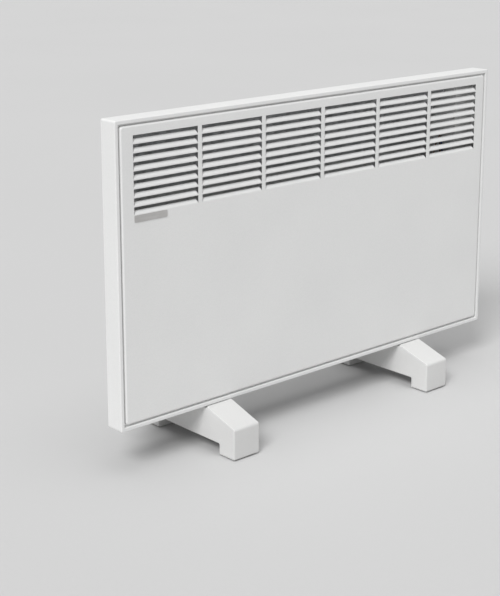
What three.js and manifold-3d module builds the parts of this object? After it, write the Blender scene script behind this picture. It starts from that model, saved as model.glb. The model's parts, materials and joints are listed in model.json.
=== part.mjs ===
// Wall panel convector heater standing on its two bridge feet.
// Millimetres. X runs across the heater, the louvred front faces -Y and Z points up.
// The origin is on the floor, midway between the feet and midway between toe and heel.

import * as THREE from "three";
import { mergeGeometries, mergeVertices } from "three/addons/utils/BufferGeometryUtils.js";
import Module from "manifold-3d";

const wasm = await Module();
wasm.setup();

// ---------------------------------------------------------------- driving dimensions

const seatGap = 0.3; // between two pieces that seat on each other
const sheet = 0.8; // casing sheet
const innerSheet = 0.6; // duct sheets

const casingWidth = 795;
const casingHeight = 450;
const casingDepth = 32; // of the front casing, as seen from the side
const rearDepth = 57; // of the rear box
const casingEdgeRadius = 1.6;
const casingCorner = 3;
const floorClearance = 70; // floor to the underside of the casing
const lipWidth = 6; // front lip round the panel
const ledgeDepth = 5; // how far the panel's seat lies behind the lip
const ledgeWidth = 10;

const panelSheet = 0.8;
const panelGap = 3; // groove between lip and panel
const panelRoll = 3; // radius of the panel's rolled edge
const panelCorner = 5; // in the panel's plane

const louvreColumns = 6;
const louvreRows = 9;
const louvreSideMargin = 21.75; // panel's side to the first column
const dividerWidth = 7.5;
const louvrePitch = 12.65;
const louvreOpening = 5.4; // clear height of a slot
const louvreThrow = 4.2; // how far a blade's upper edge is pressed in
const louvreTopMargin = 23; // casing top to the first slot
const bladeRelief = 2.4; // how much a blade narrows towards each end of its upper edge
const bladeFlat = 1.3; // lower part of a blade that stays in the panel's plane
const bladeBelly = 0.55; // share of its height at which a blade leaves that plane

const rearSideInset = 45; // casing side to rear box side
const rearTopInset = 15;
const rearEdgeRadius = 5;
const rearCorner = 9;
const rearFlange = 12;
const intakePitch = 15;
const intakeWidth = 5.5;
const intakeLength = 32;
const beadHeight = 9; // stiffening bead pressed into the back
const beadDepth = 1.6;
const beadEndMargin = 90;
const beadDrops = [217.5, 339.3]; // rear box top to each bead's middle
const keyholeSpacing = 420;
const keyholeTopMargin = 62;
const keyholeHeadRadius = 6;
const keyholeSlotRadius = 2.8;
const keyholeDrop = 12;

const footWidth = 50;
const footSpacing = 428;
const toeReach = 63; // toe in front of the casing, and heel behind the rear box
const toeHeight = 50;
const toeLength = 35;
const archHeight = 18.5; // floor to the underside of the bridge
const footWall = 2.6;
const toeFloor = 3.2;
const footEdgeRadius = 2.2;
const footCorner = 3.6;
const archCorner = 2;
const saddleGap = 2.6; // casing underside to the saddle, outside the bosses
const bossRadius = 7;
const bossLength = 22;
const padWidth = 32;
const padLength = 20;
const padProud = 1.5; // rubber pad below the foot
const padRecess = 1;
const padCorner = 3;

const screwRadius = 2.5;
const screwClearance = 0.3;
const screwHeadRadius = 5;
const screwHeadHeight = 3.4;
const driveSlotWidth = 1.2;
const driveSlotDepth = 1.4;
const screwReach = 7; // above the saddle
const collarHeight = 4; // drawn collar in the sheet that the foot screw bites
const collarWall = 1.6;

const ductMargin = 26.3; // duct side sheet to the inside of the rear box
const ductFlange = 14;
const ductFrontGap = 7.8; // panel's seat to the duct, where the neutral lead runs
const ductHeadroom = 16; // duct to the baffle's lower edge
const shieldStandoff = 15; // heat shield in front of the back
const shieldLift = 22; // casing underside to the shield's lower bend
const shieldDrop = 4; // duct's upper edge to the shield's
const shieldFoot = 12;
const baffleDrop = 109; // rear box top to the baffle's lower bend
const baffleMargin = 6; // baffle end to rear box side
const baffleCrownGap = 1.5; // over the baffle's crown

const elementLift = 78; // casing underside to the element's axis
const elementSetback = 2; // element axis behind the middle of the foot
const elementOverhang = 13; // duct side sheet to the end of the finned block
const hubRadius = 8;
const armLength = 25;
const armThickness = 2.4;
const armAngle = 32; // from the vertical
const finLength = 5;
const finThickness = 1.6;
const finsPerArm = 3;
const sheathRadius = 4;
const sheathOverhang = 13; // beyond the duct side sheet
const terminalRadius = 1.6;
const terminalLength = 7;
const terminalInsert = 6;
const bushFlangeRadius = 11;
const bushBodyRadius = 8;
const bushFlange = 3;
const bushReach = 4;

const cutoutRadius = 8;
const cutoutHeight = 8;
const cutoutPlateLength = 26;
const cutoutTab = 6;
const cutoutTabWidth = 4;
const cutoutX = 120;
const cutoutRise = 62; // above the element's axis

const controlDepth = 27.5; // how far the control housing stands out of the rear box side
const controlMargin = 5.5; // housing to the casing and to the plane of the back
const controlTopMargin = 50; // casing top to the top of the housing
const controlHeight = 150;
const controlWall = 2.4;
const controlEdgeRadius = 3;
const controlCorner = 5;
const knobDrop = 40; // housing top to the knob's axis
const knobRadius = 18.5;
const knobTopRadius = 16.6;
const knobHeight = 13;
const knobFlutes = 14;
const fluteRadius = 1.7;
const knobStandoff = 0.6;
const knobFace = 3; // solid face in front of the shaft's end
const knobWall = 2;
const knobHubWall = 3.6;
const knobDish = 3.2; // depth of the hollow behind the knob
const knobCrownEdge = 0.8;
const pointerWidth = 2;
const pointerHeight = 0.6;
const shaftRadius = 3;
const shaftInsertion = 9; // into the thermostat body
const shaftFlat = 0.8;
const bushingRadius = 4.8;
const bushingProud = 1.2;
const thermostatSize = 27;
const thermostatDepth = 15;
const switchDrop = 94; // housing top to the middle of the switch
const switchWidth = 15;
const switchHeight = 22;
const switchRim = 1.8; // rim thickness and rim overlap
const switchDepth = 15;
const switchCorner = 1.4;
const switchEdgeRadius = 0.5;
const switchWellDepth = 5.9; // behind the rocker's pivot
const rockerWall = 1;
const rockerTilt = 10; // to each side of the middle
const rockerHollow = 3.1; // pivot to the bottom of the V in the rocker's face
const rockerBack = 3.9; // pivot to the rocker's back
const trunnionRadius = 1.1;
const wiringHoleRadius = 11;

const glandRadius = 8.5;
const glandWaist = 6;
const glandBore = 3.6;
const glandLength = 17;
const glandNut = 5;
const glandTaper = 4;
const glandTipWall = 2.5;
const terminalBlockMargin = 3.6; // each end to the wall of the control housing
const terminalBlockWidth = 15;
const terminalBlockHeight = 12;
const terminalBlockLift = 12.4; // above the floor of the control housing
const terminalWellRadius = 2.2;
const terminalWellDepth = 6;

const bulbRadius = 3.2;
const bulbLength = 46;
const bulbNose = 1.4; // chamfer of its lower end
const bulbLift = 16; // casing underside to the bulb's lower end
const sensorStandoff = 6.5; // bulb axis to the rear box side
const sensorY = 26;
const clipWall = 1.4;
const clipHeight = 10;
const capillaryRadius = 0.9;
const leadRadius = 1.5;

// ---------------------------------------------------------------- derived places

const halfWidth = casingWidth / 2;
const casingBottom = floorClearance;
const casingTop = casingBottom + casingHeight;
const footLength = 2 * toeReach + casingDepth + rearDepth;
const frontY = -footLength / 2 + toeReach;
const casingBackY = frontY + casingDepth;
const backY = casingBackY + rearDepth;
const rearHalf = halfWidth - rearSideInset;
const rearInnerHalf = rearHalf - sheet;
const ductHalfWidth = rearInnerHalf - ductMargin; // middle to each duct side sheet
const rearTop = casingTop - rearTopInset;
const backInnerY = backY - sheet;
const ledgeFrontY = frontY + ledgeDepth;
const panelHalf = halfWidth - lipWidth - panelGap;
const panelBottom = casingBottom + lipWidth + panelGap;
const panelTop = casingTop - lipWidth - panelGap;
const louvreSpan = 2 * (panelHalf - louvreSideMargin);
const louvreWidth = (louvreSpan - (louvreColumns - 1) * dividerWidth) / louvreColumns;
const bossPlaces = [(frontY + casingBackY) / 2, backY / 2]; // Y of the foot screws
const footCentres = [-footSpacing / 2, footSpacing / 2];
const saddleTop = floorClearance - saddleGap;
const elementY = elementSetback;
const elementHeight = casingBottom + elementLift; // of its axis
const bulbHeight = casingBottom + bulbLift; // of its lower end
const ductFrontY = ledgeFrontY + sheet + ductFrontGap;
const baffleBottom = rearTop - baffleDrop;
const ductTop = baffleBottom - shieldFoot - ductHeadroom;
const shieldY = backInnerY - shieldStandoff;
const shieldBottom = casingBottom + shieldLift;
const shieldTop = ductTop - shieldDrop - shieldFoot;
const controlX = rearHalf + seatGap;
const controlFaceX = controlX + controlDepth;
const controlTop = casingTop - controlTopMargin;
const controlBottom = controlTop - controlHeight;
const controlY = (casingBackY + backY) / 2;
const controlLength = rearDepth - 2 * controlMargin; // front to back
const terminalBlockLength = controlLength - 2 * (controlWall + terminalBlockMargin);
const knobZ = controlTop - knobDrop;
const switchZ = controlTop - switchDrop;
const wiringZ = (knobZ + switchZ) / 2;
const glandX = controlX + controlDepth / 2;
const tiny = 0.5; // how far a cutting tool runs past the face that it cuts

// ---------------------------------------------------------------- colours

const paintedWhite = { color: 0xe6e6e4, roughness: 0.45, metalness: 0.1 };
const footWhite = { color: 0xe9e9e7, roughness: 0.55, metalness: 0 };
const galvanised = { color: 0xa9acae, roughness: 0.42, metalness: 0.9 };
const aluminium = { color: 0xb9bbbd, roughness: 0.35, metalness: 1 };
const steel = { color: 0x8f9294, roughness: 0.3, metalness: 1 };
const rubber = { color: 0x2b2b2c, roughness: 0.9, metalness: 0 };
const darkPlastic = { color: 0x35373a, roughness: 0.5, metalness: 0 };
const palePlastic = { color: 0xdedfdd, roughness: 0.5, metalness: 0 };
const ceramic = { color: 0xe4dfd2, roughness: 0.6, metalness: 0 };
const copper = { color: 0xb5713f, roughness: 0.35, metalness: 1 };
const brownWire = { color: 0x5b3a26, roughness: 0.6, metalness: 0 };
const blueWire = { color: 0x2f4f86, roughness: 0.6, metalness: 0 };

// ---------------------------------------------------------------- solids and geometries

function solidOf(geometry) {
  const bare = geometry.index ? geometry.clone() : geometry;
  bare.deleteAttribute("normal");
  bare.deleteAttribute("uv");
  const welded = mergeVertices(bare, 1e-4);
  const vertProperties = new Float32Array(welded.attributes.position.array);
  const triVerts = new Uint32Array(welded.index.array);
  return new wasm.Manifold(new wasm.Mesh({ numProp: 3, vertProperties, triVerts }));
}

function geometryOf(solid) {
  const mesh = solid.getMesh();
  const geometry = new THREE.BufferGeometry();
  geometry.setAttribute("position", new THREE.BufferAttribute(new Float32Array(mesh.vertProperties), 3));
  geometry.setIndex(new THREE.BufferAttribute(new Uint32Array(mesh.triVerts), 1));
  geometry.computeVertexNormals();
  return geometry;
}

function joined(solids) {
  return solids.reduce((whole, solid) => whole.add(solid));
}

function cut(solid, tools) {
  return tools.reduce((rest, tool) => rest.subtract(tool), solid);
}

// Turns local X, Y, Z into the three given world directions.
function turned(geometry, right, up, out) {
  const basis = new THREE.Matrix4().makeBasis(
    new THREE.Vector3(...right),
    new THREE.Vector3(...up),
    new THREE.Vector3(...out),
  );
  return geometry.applyMatrix4(basis);
}

const alongX = (geometry) => turned(geometry, [0, 1, 0], [0, 0, 1], [1, 0, 0]);
const alongY = (geometry) => turned(geometry, [1, 0, 0], [0, 0, 1], [0, -1, 0]);

function boxGeometry(x0, x1, y0, y1, z0, z1) {
  const geometry = new THREE.BoxGeometry(x1 - x0, y1 - y0, z1 - z0);
  return geometry.translate((x0 + x1) / 2, (y0 + y1) / 2, (z0 + z1) / 2);
}

function box(x0, x1, y0, y1, z0, z1) {
  return solidOf(boxGeometry(x0, x1, y0, y1, z0, z1));
}

// An outline whose corner i is rounded with radius corners[i][2], or left sharp without one.
function outline(corners) {
  const shape = new THREE.Shape();
  const count = corners.length;
  corners.forEach(([a, b, radius = 0], i) => {
    const corner = new THREE.Vector2(a, b);
    const before = new THREE.Vector2(...corners[(i + count - 1) % count].slice(0, 2));
    const after = new THREE.Vector2(...corners[(i + 1) % count].slice(0, 2));
    const entry = corner.clone().add(before.sub(corner).setLength(radius));
    const leave = corner.clone().add(after.sub(corner).setLength(radius));
    if (i === 0) shape.moveTo(entry.x, entry.y);
    else shape.lineTo(entry.x, entry.y);
    if (radius > 0) shape.quadraticCurveTo(corner.x, corner.y, leave.x, leave.y);
  });
  return shape;
}

function rectangle(a0, a1, b0, b1, radius = 0) {
  return outline([[a0, b0, radius], [a1, b0, radius], [a1, b1, radius], [a0, b1, radius]]);
}

// A prism along local Z from 0 to length, with both end edges rounded where a radius is given.
function prism(shape, length, edgeRadius = 0, curveSegments = 3, bevelSegments = 2) {
  const rounding = edgeRadius > 0;
  const geometry = new THREE.ExtrudeGeometry(shape, {
    depth: length - 2 * edgeRadius,
    curveSegments,
    bevelEnabled: rounding,
    bevelThickness: edgeRadius,
    bevelSize: edgeRadius,
    bevelOffset: -edgeRadius,
    bevelSegments,
  });
  return geometry.translate(0, 0, edgeRadius);
}

// A profile of (y, z) points run from x0 to x1.
function prismX(shape, x0, x1, edgeRadius = 0, curveSegments = 3) {
  return alongX(prism(shape, x1 - x0, edgeRadius, curveSegments)).translate(x0, 0, 0);
}

// An outline of (x, z) points run from y0 to y1.
function prismY(shape, y0, y1, edgeRadius = 0, curveSegments = 3) {
  return alongY(prism(shape, y1 - y0, edgeRadius, curveSegments)).translate(0, y1, 0);
}

// A strip of sheet that follows (y, z) points, its thickness laid to the left of the way along them.
function bentSheet(points, thickness) {
  const way = points.map(([a, b]) => new THREE.Vector2(a, b));
  const offset = way.map((point, i) => {
    const into = i > 0 ? point.clone().sub(way[i - 1]).normalize() : null;
    const away = i < way.length - 1 ? way[i + 1].clone().sub(point).normalize() : null;
    const normals = [into, away].filter(Boolean).map((d) => new THREE.Vector2(-d.y, d.x));
    const mean = normals.reduce((sum, n) => sum.add(n), new THREE.Vector2()).normalize();
    return point.clone().addScaledVector(mean, thickness / mean.dot(normals[0].clone().normalize()));
  });
  return new THREE.Shape([...way, ...offset.reverse()]);
}

function rod(radius, length, sides = 24) {
  return new THREE.CylinderGeometry(radius, radius, length, sides);
}

// Round bars with their axis along X, Y or Z, given by centre line and two ends.
function rodX(radius, y, z, x0, x1, sides) {
  return rod(radius, x1 - x0, sides).rotateZ(Math.PI / 2).translate((x0 + x1) / 2, y, z);
}

function rodY(radius, x, z, y0, y1, sides) {
  return rod(radius, y1 - y0, sides).translate(x, (y0 + y1) / 2, z);
}

function rodZ(radius, x, y, z0, z1, sides) {
  return rod(radius, z1 - z0, sides).rotateX(Math.PI / 2).translate(x, y, (z0 + z1) / 2);
}

// A turned piece: profile of [radius, height] pairs that closes on itself or on the axis.
function turnedPiece(profile, sides = 16) {
  const points = profile.map(([radius, height]) => new THREE.Vector2(radius, height));
  return new THREE.LatheGeometry([...points, points[0].clone()], sides);
}

// A slab in the XZ plane whose edges are rounded at faceY and square at squareY.
function facedSlab(halfSpan, z0, z1, faceY, squareY, edgeRadius, cornerRadius) {
  const beyond = squareY + Math.sign(squareY - faceY) * (edgeRadius + tiny);
  const shape = rectangle(-halfSpan, halfSpan, z0, z1, cornerRadius);
  const slab = solidOf(prismY(shape, Math.min(faceY, beyond), Math.max(faceY, beyond), edgeRadius));
  const wide = halfSpan + tiny;
  const far = beyond + Math.sign(beyond - squareY) * tiny;
  return slab.subtract(
    box(-wide, wide, Math.min(squareY, far), Math.max(squareY, far), z0 - tiny, z1 + tiny),
  );
}

function tubeAlong(points, radius, sides, steps) {
  const path = new THREE.CatmullRomCurve3(points.map((p) => new THREE.Vector3(...p)), false, "centripetal");
  const ring = new THREE.Shape();
  for (let i = 0; i <= sides; i++) {
    const angle = (2 * Math.PI * i) / sides;
    const place = [radius * Math.cos(angle), radius * Math.sin(angle)];
    if (i === 0) ring.moveTo(...place);
    else ring.lineTo(...place);
  }
  return new THREE.ExtrudeGeometry(ring, { steps, extrudePath: path });
}

function named(name, finish, geometry) {
  const mesh = new THREE.Mesh(geometry, new THREE.MeshStandardMaterial(finish));
  mesh.name = name;
  return mesh;
}

// ---------------------------------------------------------------- front panel

// One louvre blade: its lower edge lies in the panel, its upper edge is pressed inwards.
// The blade of the slot whose upper edge is at height 0, over a column that starts at x = 0.
function louvreBlade() {
  const bladeHeight = louvrePitch - louvreOpening;
  const embed = 0.6; // runs into the dividers
  const foot = -louvrePitch;
  const curve = new THREE.QuadraticBezierCurve(
    new THREE.Vector2(frontY, foot + bladeFlat),
    new THREE.Vector2(frontY, foot + bladeHeight * bladeBelly),
    new THREE.Vector2(frontY + louvreThrow, foot + bladeHeight),
  );
  const points = [[frontY, foot - tiny / 2], ...curve.getPoints(3).map((p) => [p.x, p.y])];
  const strip = prismX(bentSheet([...points].reverse(), panelSheet), -embed, louvreWidth + embed);
  const top = foot + bladeHeight + panelSheet;
  const front = outline([
    [-embed, foot - tiny],
    [louvreWidth + embed, foot - tiny],
    [louvreWidth + embed, foot + bladeFlat],
    [louvreWidth - bladeRelief, top],
    [bladeRelief, top],
    [-embed, foot + bladeFlat],
  ]);
  const stamp = prismY(front, frontY - tiny, frontY + louvreThrow + 2 * panelSheet);
  return geometryOf(solidOf(strip).intersect(solidOf(stamp)));
}

function frontPanel() {
  const rimBackY = ledgeFrontY - seatGap;
  const outer = facedSlab(panelHalf, panelBottom, panelTop, frontY, rimBackY, panelRoll, panelCorner);
  const inner = facedSlab(
    panelHalf - panelSheet,
    panelBottom + panelSheet,
    panelTop - panelSheet,
    frontY + panelSheet,
    rimBackY + tiny,
    panelRoll - panelSheet,
    panelCorner - panelSheet,
  );
  const slotTop = casingTop - louvreTopMargin;
  const slotBottom = slotTop - louvreRows * louvrePitch;
  const columnLefts = Array.from(
    { length: louvreColumns },
    (_, i) => -louvreSpan / 2 + i * (louvreWidth + dividerWidth),
  );
  const windows = columnLefts.map((left) =>
    box(left, left + louvreWidth, frontY - tiny, frontY + panelSheet + tiny, slotBottom, slotTop),
  );
  const blade = louvreBlade();
  const blades = columnLefts.flatMap((left) =>
    Array.from({ length: louvreRows }, (_, row) =>
      blade.clone().translate(left, 0, slotTop - row * louvrePitch),
    ),
  );
  const pressed = blades.map((geometry) => solidOf(geometry));
  const panel = joined([cut(outer, [inner, ...windows]), ...pressed]);
  return named("front_panel", paintedWhite, geometryOf(panel));
}

// ---------------------------------------------------------------- casing frame

function casingFrame() {
  const outer = facedSlab(
    halfWidth,
    casingBottom,
    casingTop,
    frontY,
    casingBackY,
    casingEdgeRadius,
    casingCorner,
  );
  const cavityOutline = rectangle(
    -halfWidth + sheet,
    halfWidth - sheet,
    casingBottom + sheet,
    casingTop - sheet,
    casingCorner - sheet,
  );
  const cavity = solidOf(prismY(cavityOutline, frontY + sheet, casingBackY - sheet));
  const mouthHalf = halfWidth - lipWidth;
  const mouthBottom = casingBottom + lipWidth;
  const mouthTop = casingTop - lipWidth;
  const returnWall = box(
    -mouthHalf - sheet,
    mouthHalf + sheet,
    frontY + sheet / 2,
    ledgeFrontY + sheet,
    mouthBottom - sheet,
    mouthTop + sheet,
  );
  const mouth = box(-mouthHalf, mouthHalf, frontY - tiny, ledgeFrontY, mouthBottom, mouthTop);
  const ledgeMouth = box(
    -mouthHalf + ledgeWidth,
    mouthHalf - ledgeWidth,
    frontY - tiny,
    ledgeFrontY + sheet + tiny,
    mouthBottom + ledgeWidth,
    mouthTop - ledgeWidth,
  );
  const rearMouth = box(
    -rearInnerHalf,
    rearInnerHalf,
    casingBackY - sheet - tiny,
    casingBackY + tiny,
    casingBottom + lipWidth,
    rearTop - sheet,
  );
  const collars = footScrewPlaces(bossPlaces[0]);
  const frame = joined([
    cut(outer, [cavity]),
    returnWall,
    ...collars.map(([x, y]) => screwCollar(x, y)),
  ]);
  const holes = collars.map(([x, y]) => screwHole(x, y));
  const openFrame = cut(frame, [mouth, ledgeMouth, rearMouth, ...holes]);
  return named("casing_frame", paintedWhite, geometryOf(openFrame));
}

function footScrewPlaces(y) {
  return footCentres.map((x) => [x, y]);
}

function screwCollar(x, y) {
  const radius = screwRadius + screwClearance + collarWall;
  return solidOf(rodZ(radius, x, y, casingBottom + sheet / 2, casingBottom + sheet + collarHeight, 16));
}

function screwHole(x, y) {
  const radius = screwRadius + screwClearance;
  return solidOf(rodZ(radius, x, y, casingBottom - tiny, casingBottom + sheet + collarHeight + tiny, 12));
}

// ---------------------------------------------------------------- rear box

function keyhole(x) {
  const head = [x, rearTop - keyholeTopMargin];
  const tools = [
    solidOf(rodY(keyholeHeadRadius, head[0], head[1], backInnerY - tiny, backY + tiny, 20)),
    box(
      x - keyholeSlotRadius,
      x + keyholeSlotRadius,
      backInnerY - tiny,
      backY + tiny,
      head[1],
      head[1] + keyholeDrop,
    ),
    solidOf(rodY(keyholeSlotRadius, x, head[1] + keyholeDrop, backInnerY - tiny, backY + tiny, 16)),
  ];
  return joined(tools);
}

function intakeSlots() {
  const count = 2 * Math.floor((rearInnerHalf - 2 * intakePitch) / intakePitch) + 1;
  const y = (casingBackY + backY) / 2;
  const keepOff = footWidth / 2 + intakeWidth;
  return Array.from({ length: count }, (_, i) => (i - (count - 1) / 2) * intakePitch)
    .filter((x) => footCentres.every((centre) => Math.abs(x - centre) > keepOff))
    .map((x) =>
      boxGeometry(
        x - intakeWidth / 2,
        x + intakeWidth / 2,
        y - intakeLength / 2,
        y + intakeLength / 2,
        casingBottom - tiny,
        casingBottom + sheet + tiny,
      ),
    );
}

function rearBox() {
  const seatY = casingBackY + seatGap;
  const outer = facedSlab(rearHalf, casingBottom, rearTop, backY, seatY, rearEdgeRadius, rearCorner);
  const inner = facedSlab(
    rearInnerHalf,
    casingBottom + sheet,
    rearTop - sheet,
    backInnerY,
    seatY - tiny,
    rearEdgeRadius - sheet,
    rearCorner - sheet,
  );
  const flangeOutside = box(
    -rearHalf - rearFlange,
    rearHalf + rearFlange,
    seatY,
    seatY + sheet,
    casingBottom + lipWidth,
    rearTop + rearFlange,
  );
  const flangeInside = box(
    -rearHalf + sheet / 2,
    rearHalf - sheet / 2,
    seatY - tiny,
    seatY + sheet + tiny,
    casingBottom + lipWidth - tiny,
    rearTop - sheet / 2,
  );
  const beadSpan = rearHalf - beadEndMargin;
  const beadHeights = beadDrops.map((drop) => rearTop - drop);
  const beadBacks = beadHeights.map((z) =>
    box(
      -beadSpan - sheet,
      beadSpan + sheet,
      backInnerY - beadDepth,
      backY - sheet / 2,
      z - beadHeight / 2 - sheet,
      z + beadHeight / 2 + sheet,
    ),
  );
  const beadGrooves = beadHeights.map((z) =>
    box(-beadSpan, beadSpan, backY - beadDepth, backY + tiny, z - beadHeight / 2, z + beadHeight / 2),
  );
  const collars = footScrewPlaces(bossPlaces[1]);
  const wiringHole = solidOf(
    rodX(wiringHoleRadius, controlY, wiringZ, rearInnerHalf - tiny, rearHalf + tiny, 20),
  );
  const pan = joined([
    cut(outer, [inner]),
    flangeOutside.subtract(flangeInside),
    ...beadBacks,
    ...collars.map(([x, y]) => screwCollar(x, y)),
  ]);
  const openings = [
    ...beadGrooves,
    solidOf(mergeGeometries(intakeSlots())),
    keyhole(-keyholeSpacing / 2),
    keyhole(keyholeSpacing / 2),
    wiringHole,
    ...collars.map(([x, y]) => screwHole(x, y)),
  ];
  return named("rear_box", paintedWhite, geometryOf(cut(pan, openings)));
}

// ---------------------------------------------------------------- feet

const footBottom = padProud;
const heel = footLength / 2;
const archEnd = heel - toeLength;
const rampTop = -frontY + seatGap; // the ramps stop just outside the casing and the rear box

function mirroredProfile(half) {
  return [...half, ...half.map(([y, z, radius]) => [-y, z, radius]).reverse()];
}

function bridgeFoot(name, x) {
  const profile = outline(
    mirroredProfile([
      [-archEnd, archHeight, archCorner],
      [-archEnd, footBottom],
      [-heel, footBottom, footCorner],
      [-heel, toeHeight, footCorner],
      [-rampTop, floorClearance],
      [-rampTop, saddleTop],
    ]),
  );
  const shell = solidOf(prismX(profile, x - footWidth / 2, x + footWidth / 2, footEdgeRadius));
  const rampLean = (floorClearance - toeHeight) / (heel - rampTop);
  const ceiling = saddleTop - footWall;
  const toeCeiling = toeHeight - footWall * (1 + rampLean);
  const hollow = outline(
    mirroredProfile([
      [-archEnd + footWall, archHeight - toeFloor],
      [-archEnd + footWall, archHeight + footWall],
      [-archEnd - footWall, archHeight + footWall],
      [-archEnd - footWall, footBottom + toeFloor],
      [-heel + footWall, footBottom + toeFloor],
      [-heel + footWall, toeCeiling],
      [-rampTop, ceiling],
    ]),
  );
  const innerHalf = footWidth / 2 - footWall;
  const core = solidOf(prismX(hollow, x - innerHalf, x + innerHalf));
  const spine = box(
    x - footWall / 2,
    x + footWall / 2,
    -rampTop,
    rampTop,
    ceiling - bossLength / 2,
    ceiling + tiny,
  );
  const bosses = bossPlaces.map((y) =>
    solidOf(rodZ(bossRadius, x, y, saddleTop - bossLength, floorClearance - seatGap, 18)),
  );
  const bossBottom = saddleTop - bossLength;
  const shankBore = screwRadius + screwClearance;
  const headBore = screwHeadRadius + screwClearance;
  const drills = bossPlaces.flatMap((y) => [
    solidOf(rodZ(shankBore, x, y, bossBottom - tiny, floorClearance + tiny, 12)),
    solidOf(rodZ(headBore, x, y, archHeight, bossBottom + screwHeadHeight, 18)),
  ]);
  const padRecesses = [-1, 1].map((side) => {
    const y = side * (heel - toeLength / 2);
    return box(
      x - padWidth / 2 - seatGap,
      x + padWidth / 2 + seatGap,
      y - padLength / 2 - seatGap,
      y + padLength / 2 + seatGap,
      footBottom - tiny,
      footBottom + padRecess,
    );
  });
  const whole = joined([cut(shell, [core]), spine, ...bosses]);
  return named(name, footWhite, geometryOf(cut(whole, [...drills, ...padRecesses])));
}

function footPad(name, x, side) {
  const y = side * (heel - toeLength / 2);
  const half = [padWidth / 2, padLength / 2];
  const shape = rectangle(x - half[0], x + half[0], y - half[1], y + half[1], padCorner);
  return named(name, rubber, prism(shape, padProud + padRecess - seatGap));
}

function footScrew(name, x, y) {
  const headTop = saddleTop - bossLength + screwHeadHeight - seatGap;
  const head = rodZ(screwHeadRadius, x, y, headTop - screwHeadHeight, headTop, 18);
  const shank = rodZ(screwRadius, x, y, headTop - tiny, saddleTop + screwReach, 12);
  const driveSlot = box(
    x - screwHeadRadius - tiny,
    x + screwHeadRadius + tiny,
    y - driveSlotWidth / 2,
    y + driveSlotWidth / 2,
    headTop - screwHeadHeight - tiny,
    headTop - screwHeadHeight + driveSlotDepth,
  );
  return named(name, steel, geometryOf(cut(joined([solidOf(head), solidOf(shank)]), [driveSlot])));
}

// ---------------------------------------------------------------- air duct

const ductBottom = casingBottom + lipWidth + seatGap;
const backSeatY = backInnerY - seatGap; // rear face of a sheet that lies on the back

// Side sheet of the hot duct, with a flange on the back and a hole for the element's bush.
function ductSide(name, side) {
  const x0 = side * ductHalfWidth;
  const sheetEdges = [x0, x0 + side * innerSheet].sort((a, b) => a - b);
  const flangeEdges = [x0, x0 + side * ductFlange].sort((a, b) => a - b);
  const plate = box(...sheetEdges, ductFrontY, backSeatY, ductBottom, ductTop);
  const flange = box(...flangeEdges, backSeatY - innerSheet, backSeatY, ductBottom, ductTop);
  const bushHole = solidOf(
    rodX(bushBodyRadius + seatGap, elementY, elementHeight, x0 - 2 * innerSheet, x0 + 2 * innerSheet, 24),
  );
  return named(name, galvanised, geometryOf(cut(joined([plate, flange]), [bushHole])));
}

// Sheet that keeps the heat off the wall side, standing off the back on two bent feet.
function heatShield() {
  const seat = backSeatY - innerSheet;
  const profile = bentSheet(
    [
      [seat, shieldBottom - shieldFoot],
      [seat, shieldBottom],
      [shieldY, shieldBottom + shieldStandoff],
      [shieldY, shieldTop - shieldStandoff],
      [seat, shieldTop],
      [seat, shieldTop + shieldFoot],
    ],
    -innerSheet,
  );
  const reach = ductHalfWidth - seatGap;
  return named("heat_shield", galvanised, prismX(profile, -reach, reach));
}

// Curved sheet that turns the rising air forward, out through the louvres.
function airBaffle() {
  const flangeY = ledgeFrontY + sheet + seatGap + innerSheet;
  const crownZ = rearTop - sheet - baffleCrownGap;
  const reachY = backSeatY - flangeY;
  const arch = new THREE.EllipseCurve(flangeY, baffleBottom, reachY, crownZ - baffleBottom, 0, Math.PI / 2);
  const crown = arch.getPoints(14).map((p) => [p.x, p.y]);
  const rise = [flangeY, casingTop - lipWidth - baffleCrownGap];
  const profile = bentSheet([[backSeatY, baffleBottom - shieldFoot], ...crown, rise], innerSheet);
  const reach = rearInnerHalf - baffleMargin;
  return named("air_baffle", galvanised, prismX(profile, -reach, reach));
}

// ---------------------------------------------------------------- heating element

// Aluminium block: a bored hub with four arms, each with cross fins.
function elementBlock() {
  const reach = ductHalfWidth - elementOverhang;
  const placed = (geometry, angle) =>
    solidOf(geometry.rotateX(angle).translate(0, elementY, elementHeight));
  const angles = [armAngle, -armAngle, 180 - armAngle, 180 + armAngle].map(THREE.MathUtils.degToRad);
  const finPitch = (armLength - hubRadius) / finsPerArm;
  const arms = angles.flatMap((angle) => {
    const arm = boxGeometry(-reach, reach, -armThickness / 2, armThickness / 2, 0, armLength);
    const fins = Array.from({ length: finsPerArm }, (_, i) => {
      const z = armLength - finThickness - i * finPitch;
      const fin = boxGeometry(-reach, reach, -finLength, finLength, z, z + finThickness);
      return placed(fin, angle);
    });
    return [placed(arm, angle), ...fins];
  });
  const hub = solidOf(rodX(hubRadius, elementY, elementHeight, -reach, reach, 20));
  const bore = solidOf(
    rodX(sheathRadius + seatGap, elementY, elementHeight, -reach - tiny, reach + tiny, 16),
  );
  return named("element_block", aluminium, geometryOf(cut(joined([hub, ...arms]), [bore])));
}

function elementSheath() {
  const reach = ductHalfWidth + sheathOverhang;
  const rodSolid = solidOf(rodX(sheathRadius, elementY, elementHeight, -reach, reach, 16));
  const sockets = [-1, 1].map((side) => {
    const ends = [side * (reach - terminalInsert - seatGap), side * (reach + tiny)].sort((a, b) => a - b);
    return solidOf(rodX(terminalRadius + seatGap, elementY, elementHeight, ...ends, 12));
  });
  return named("element_sheath", steel, geometryOf(cut(rodSolid, sockets)));
}

function terminalPin(name, side) {
  const reach = ductHalfWidth + sheathOverhang;
  const ends = [side * (reach - terminalInsert), side * (reach + terminalLength)].sort((a, b) => a - b);
  return named(name, steel, rodX(terminalRadius, elementY, elementHeight, ...ends, 12));
}

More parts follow.
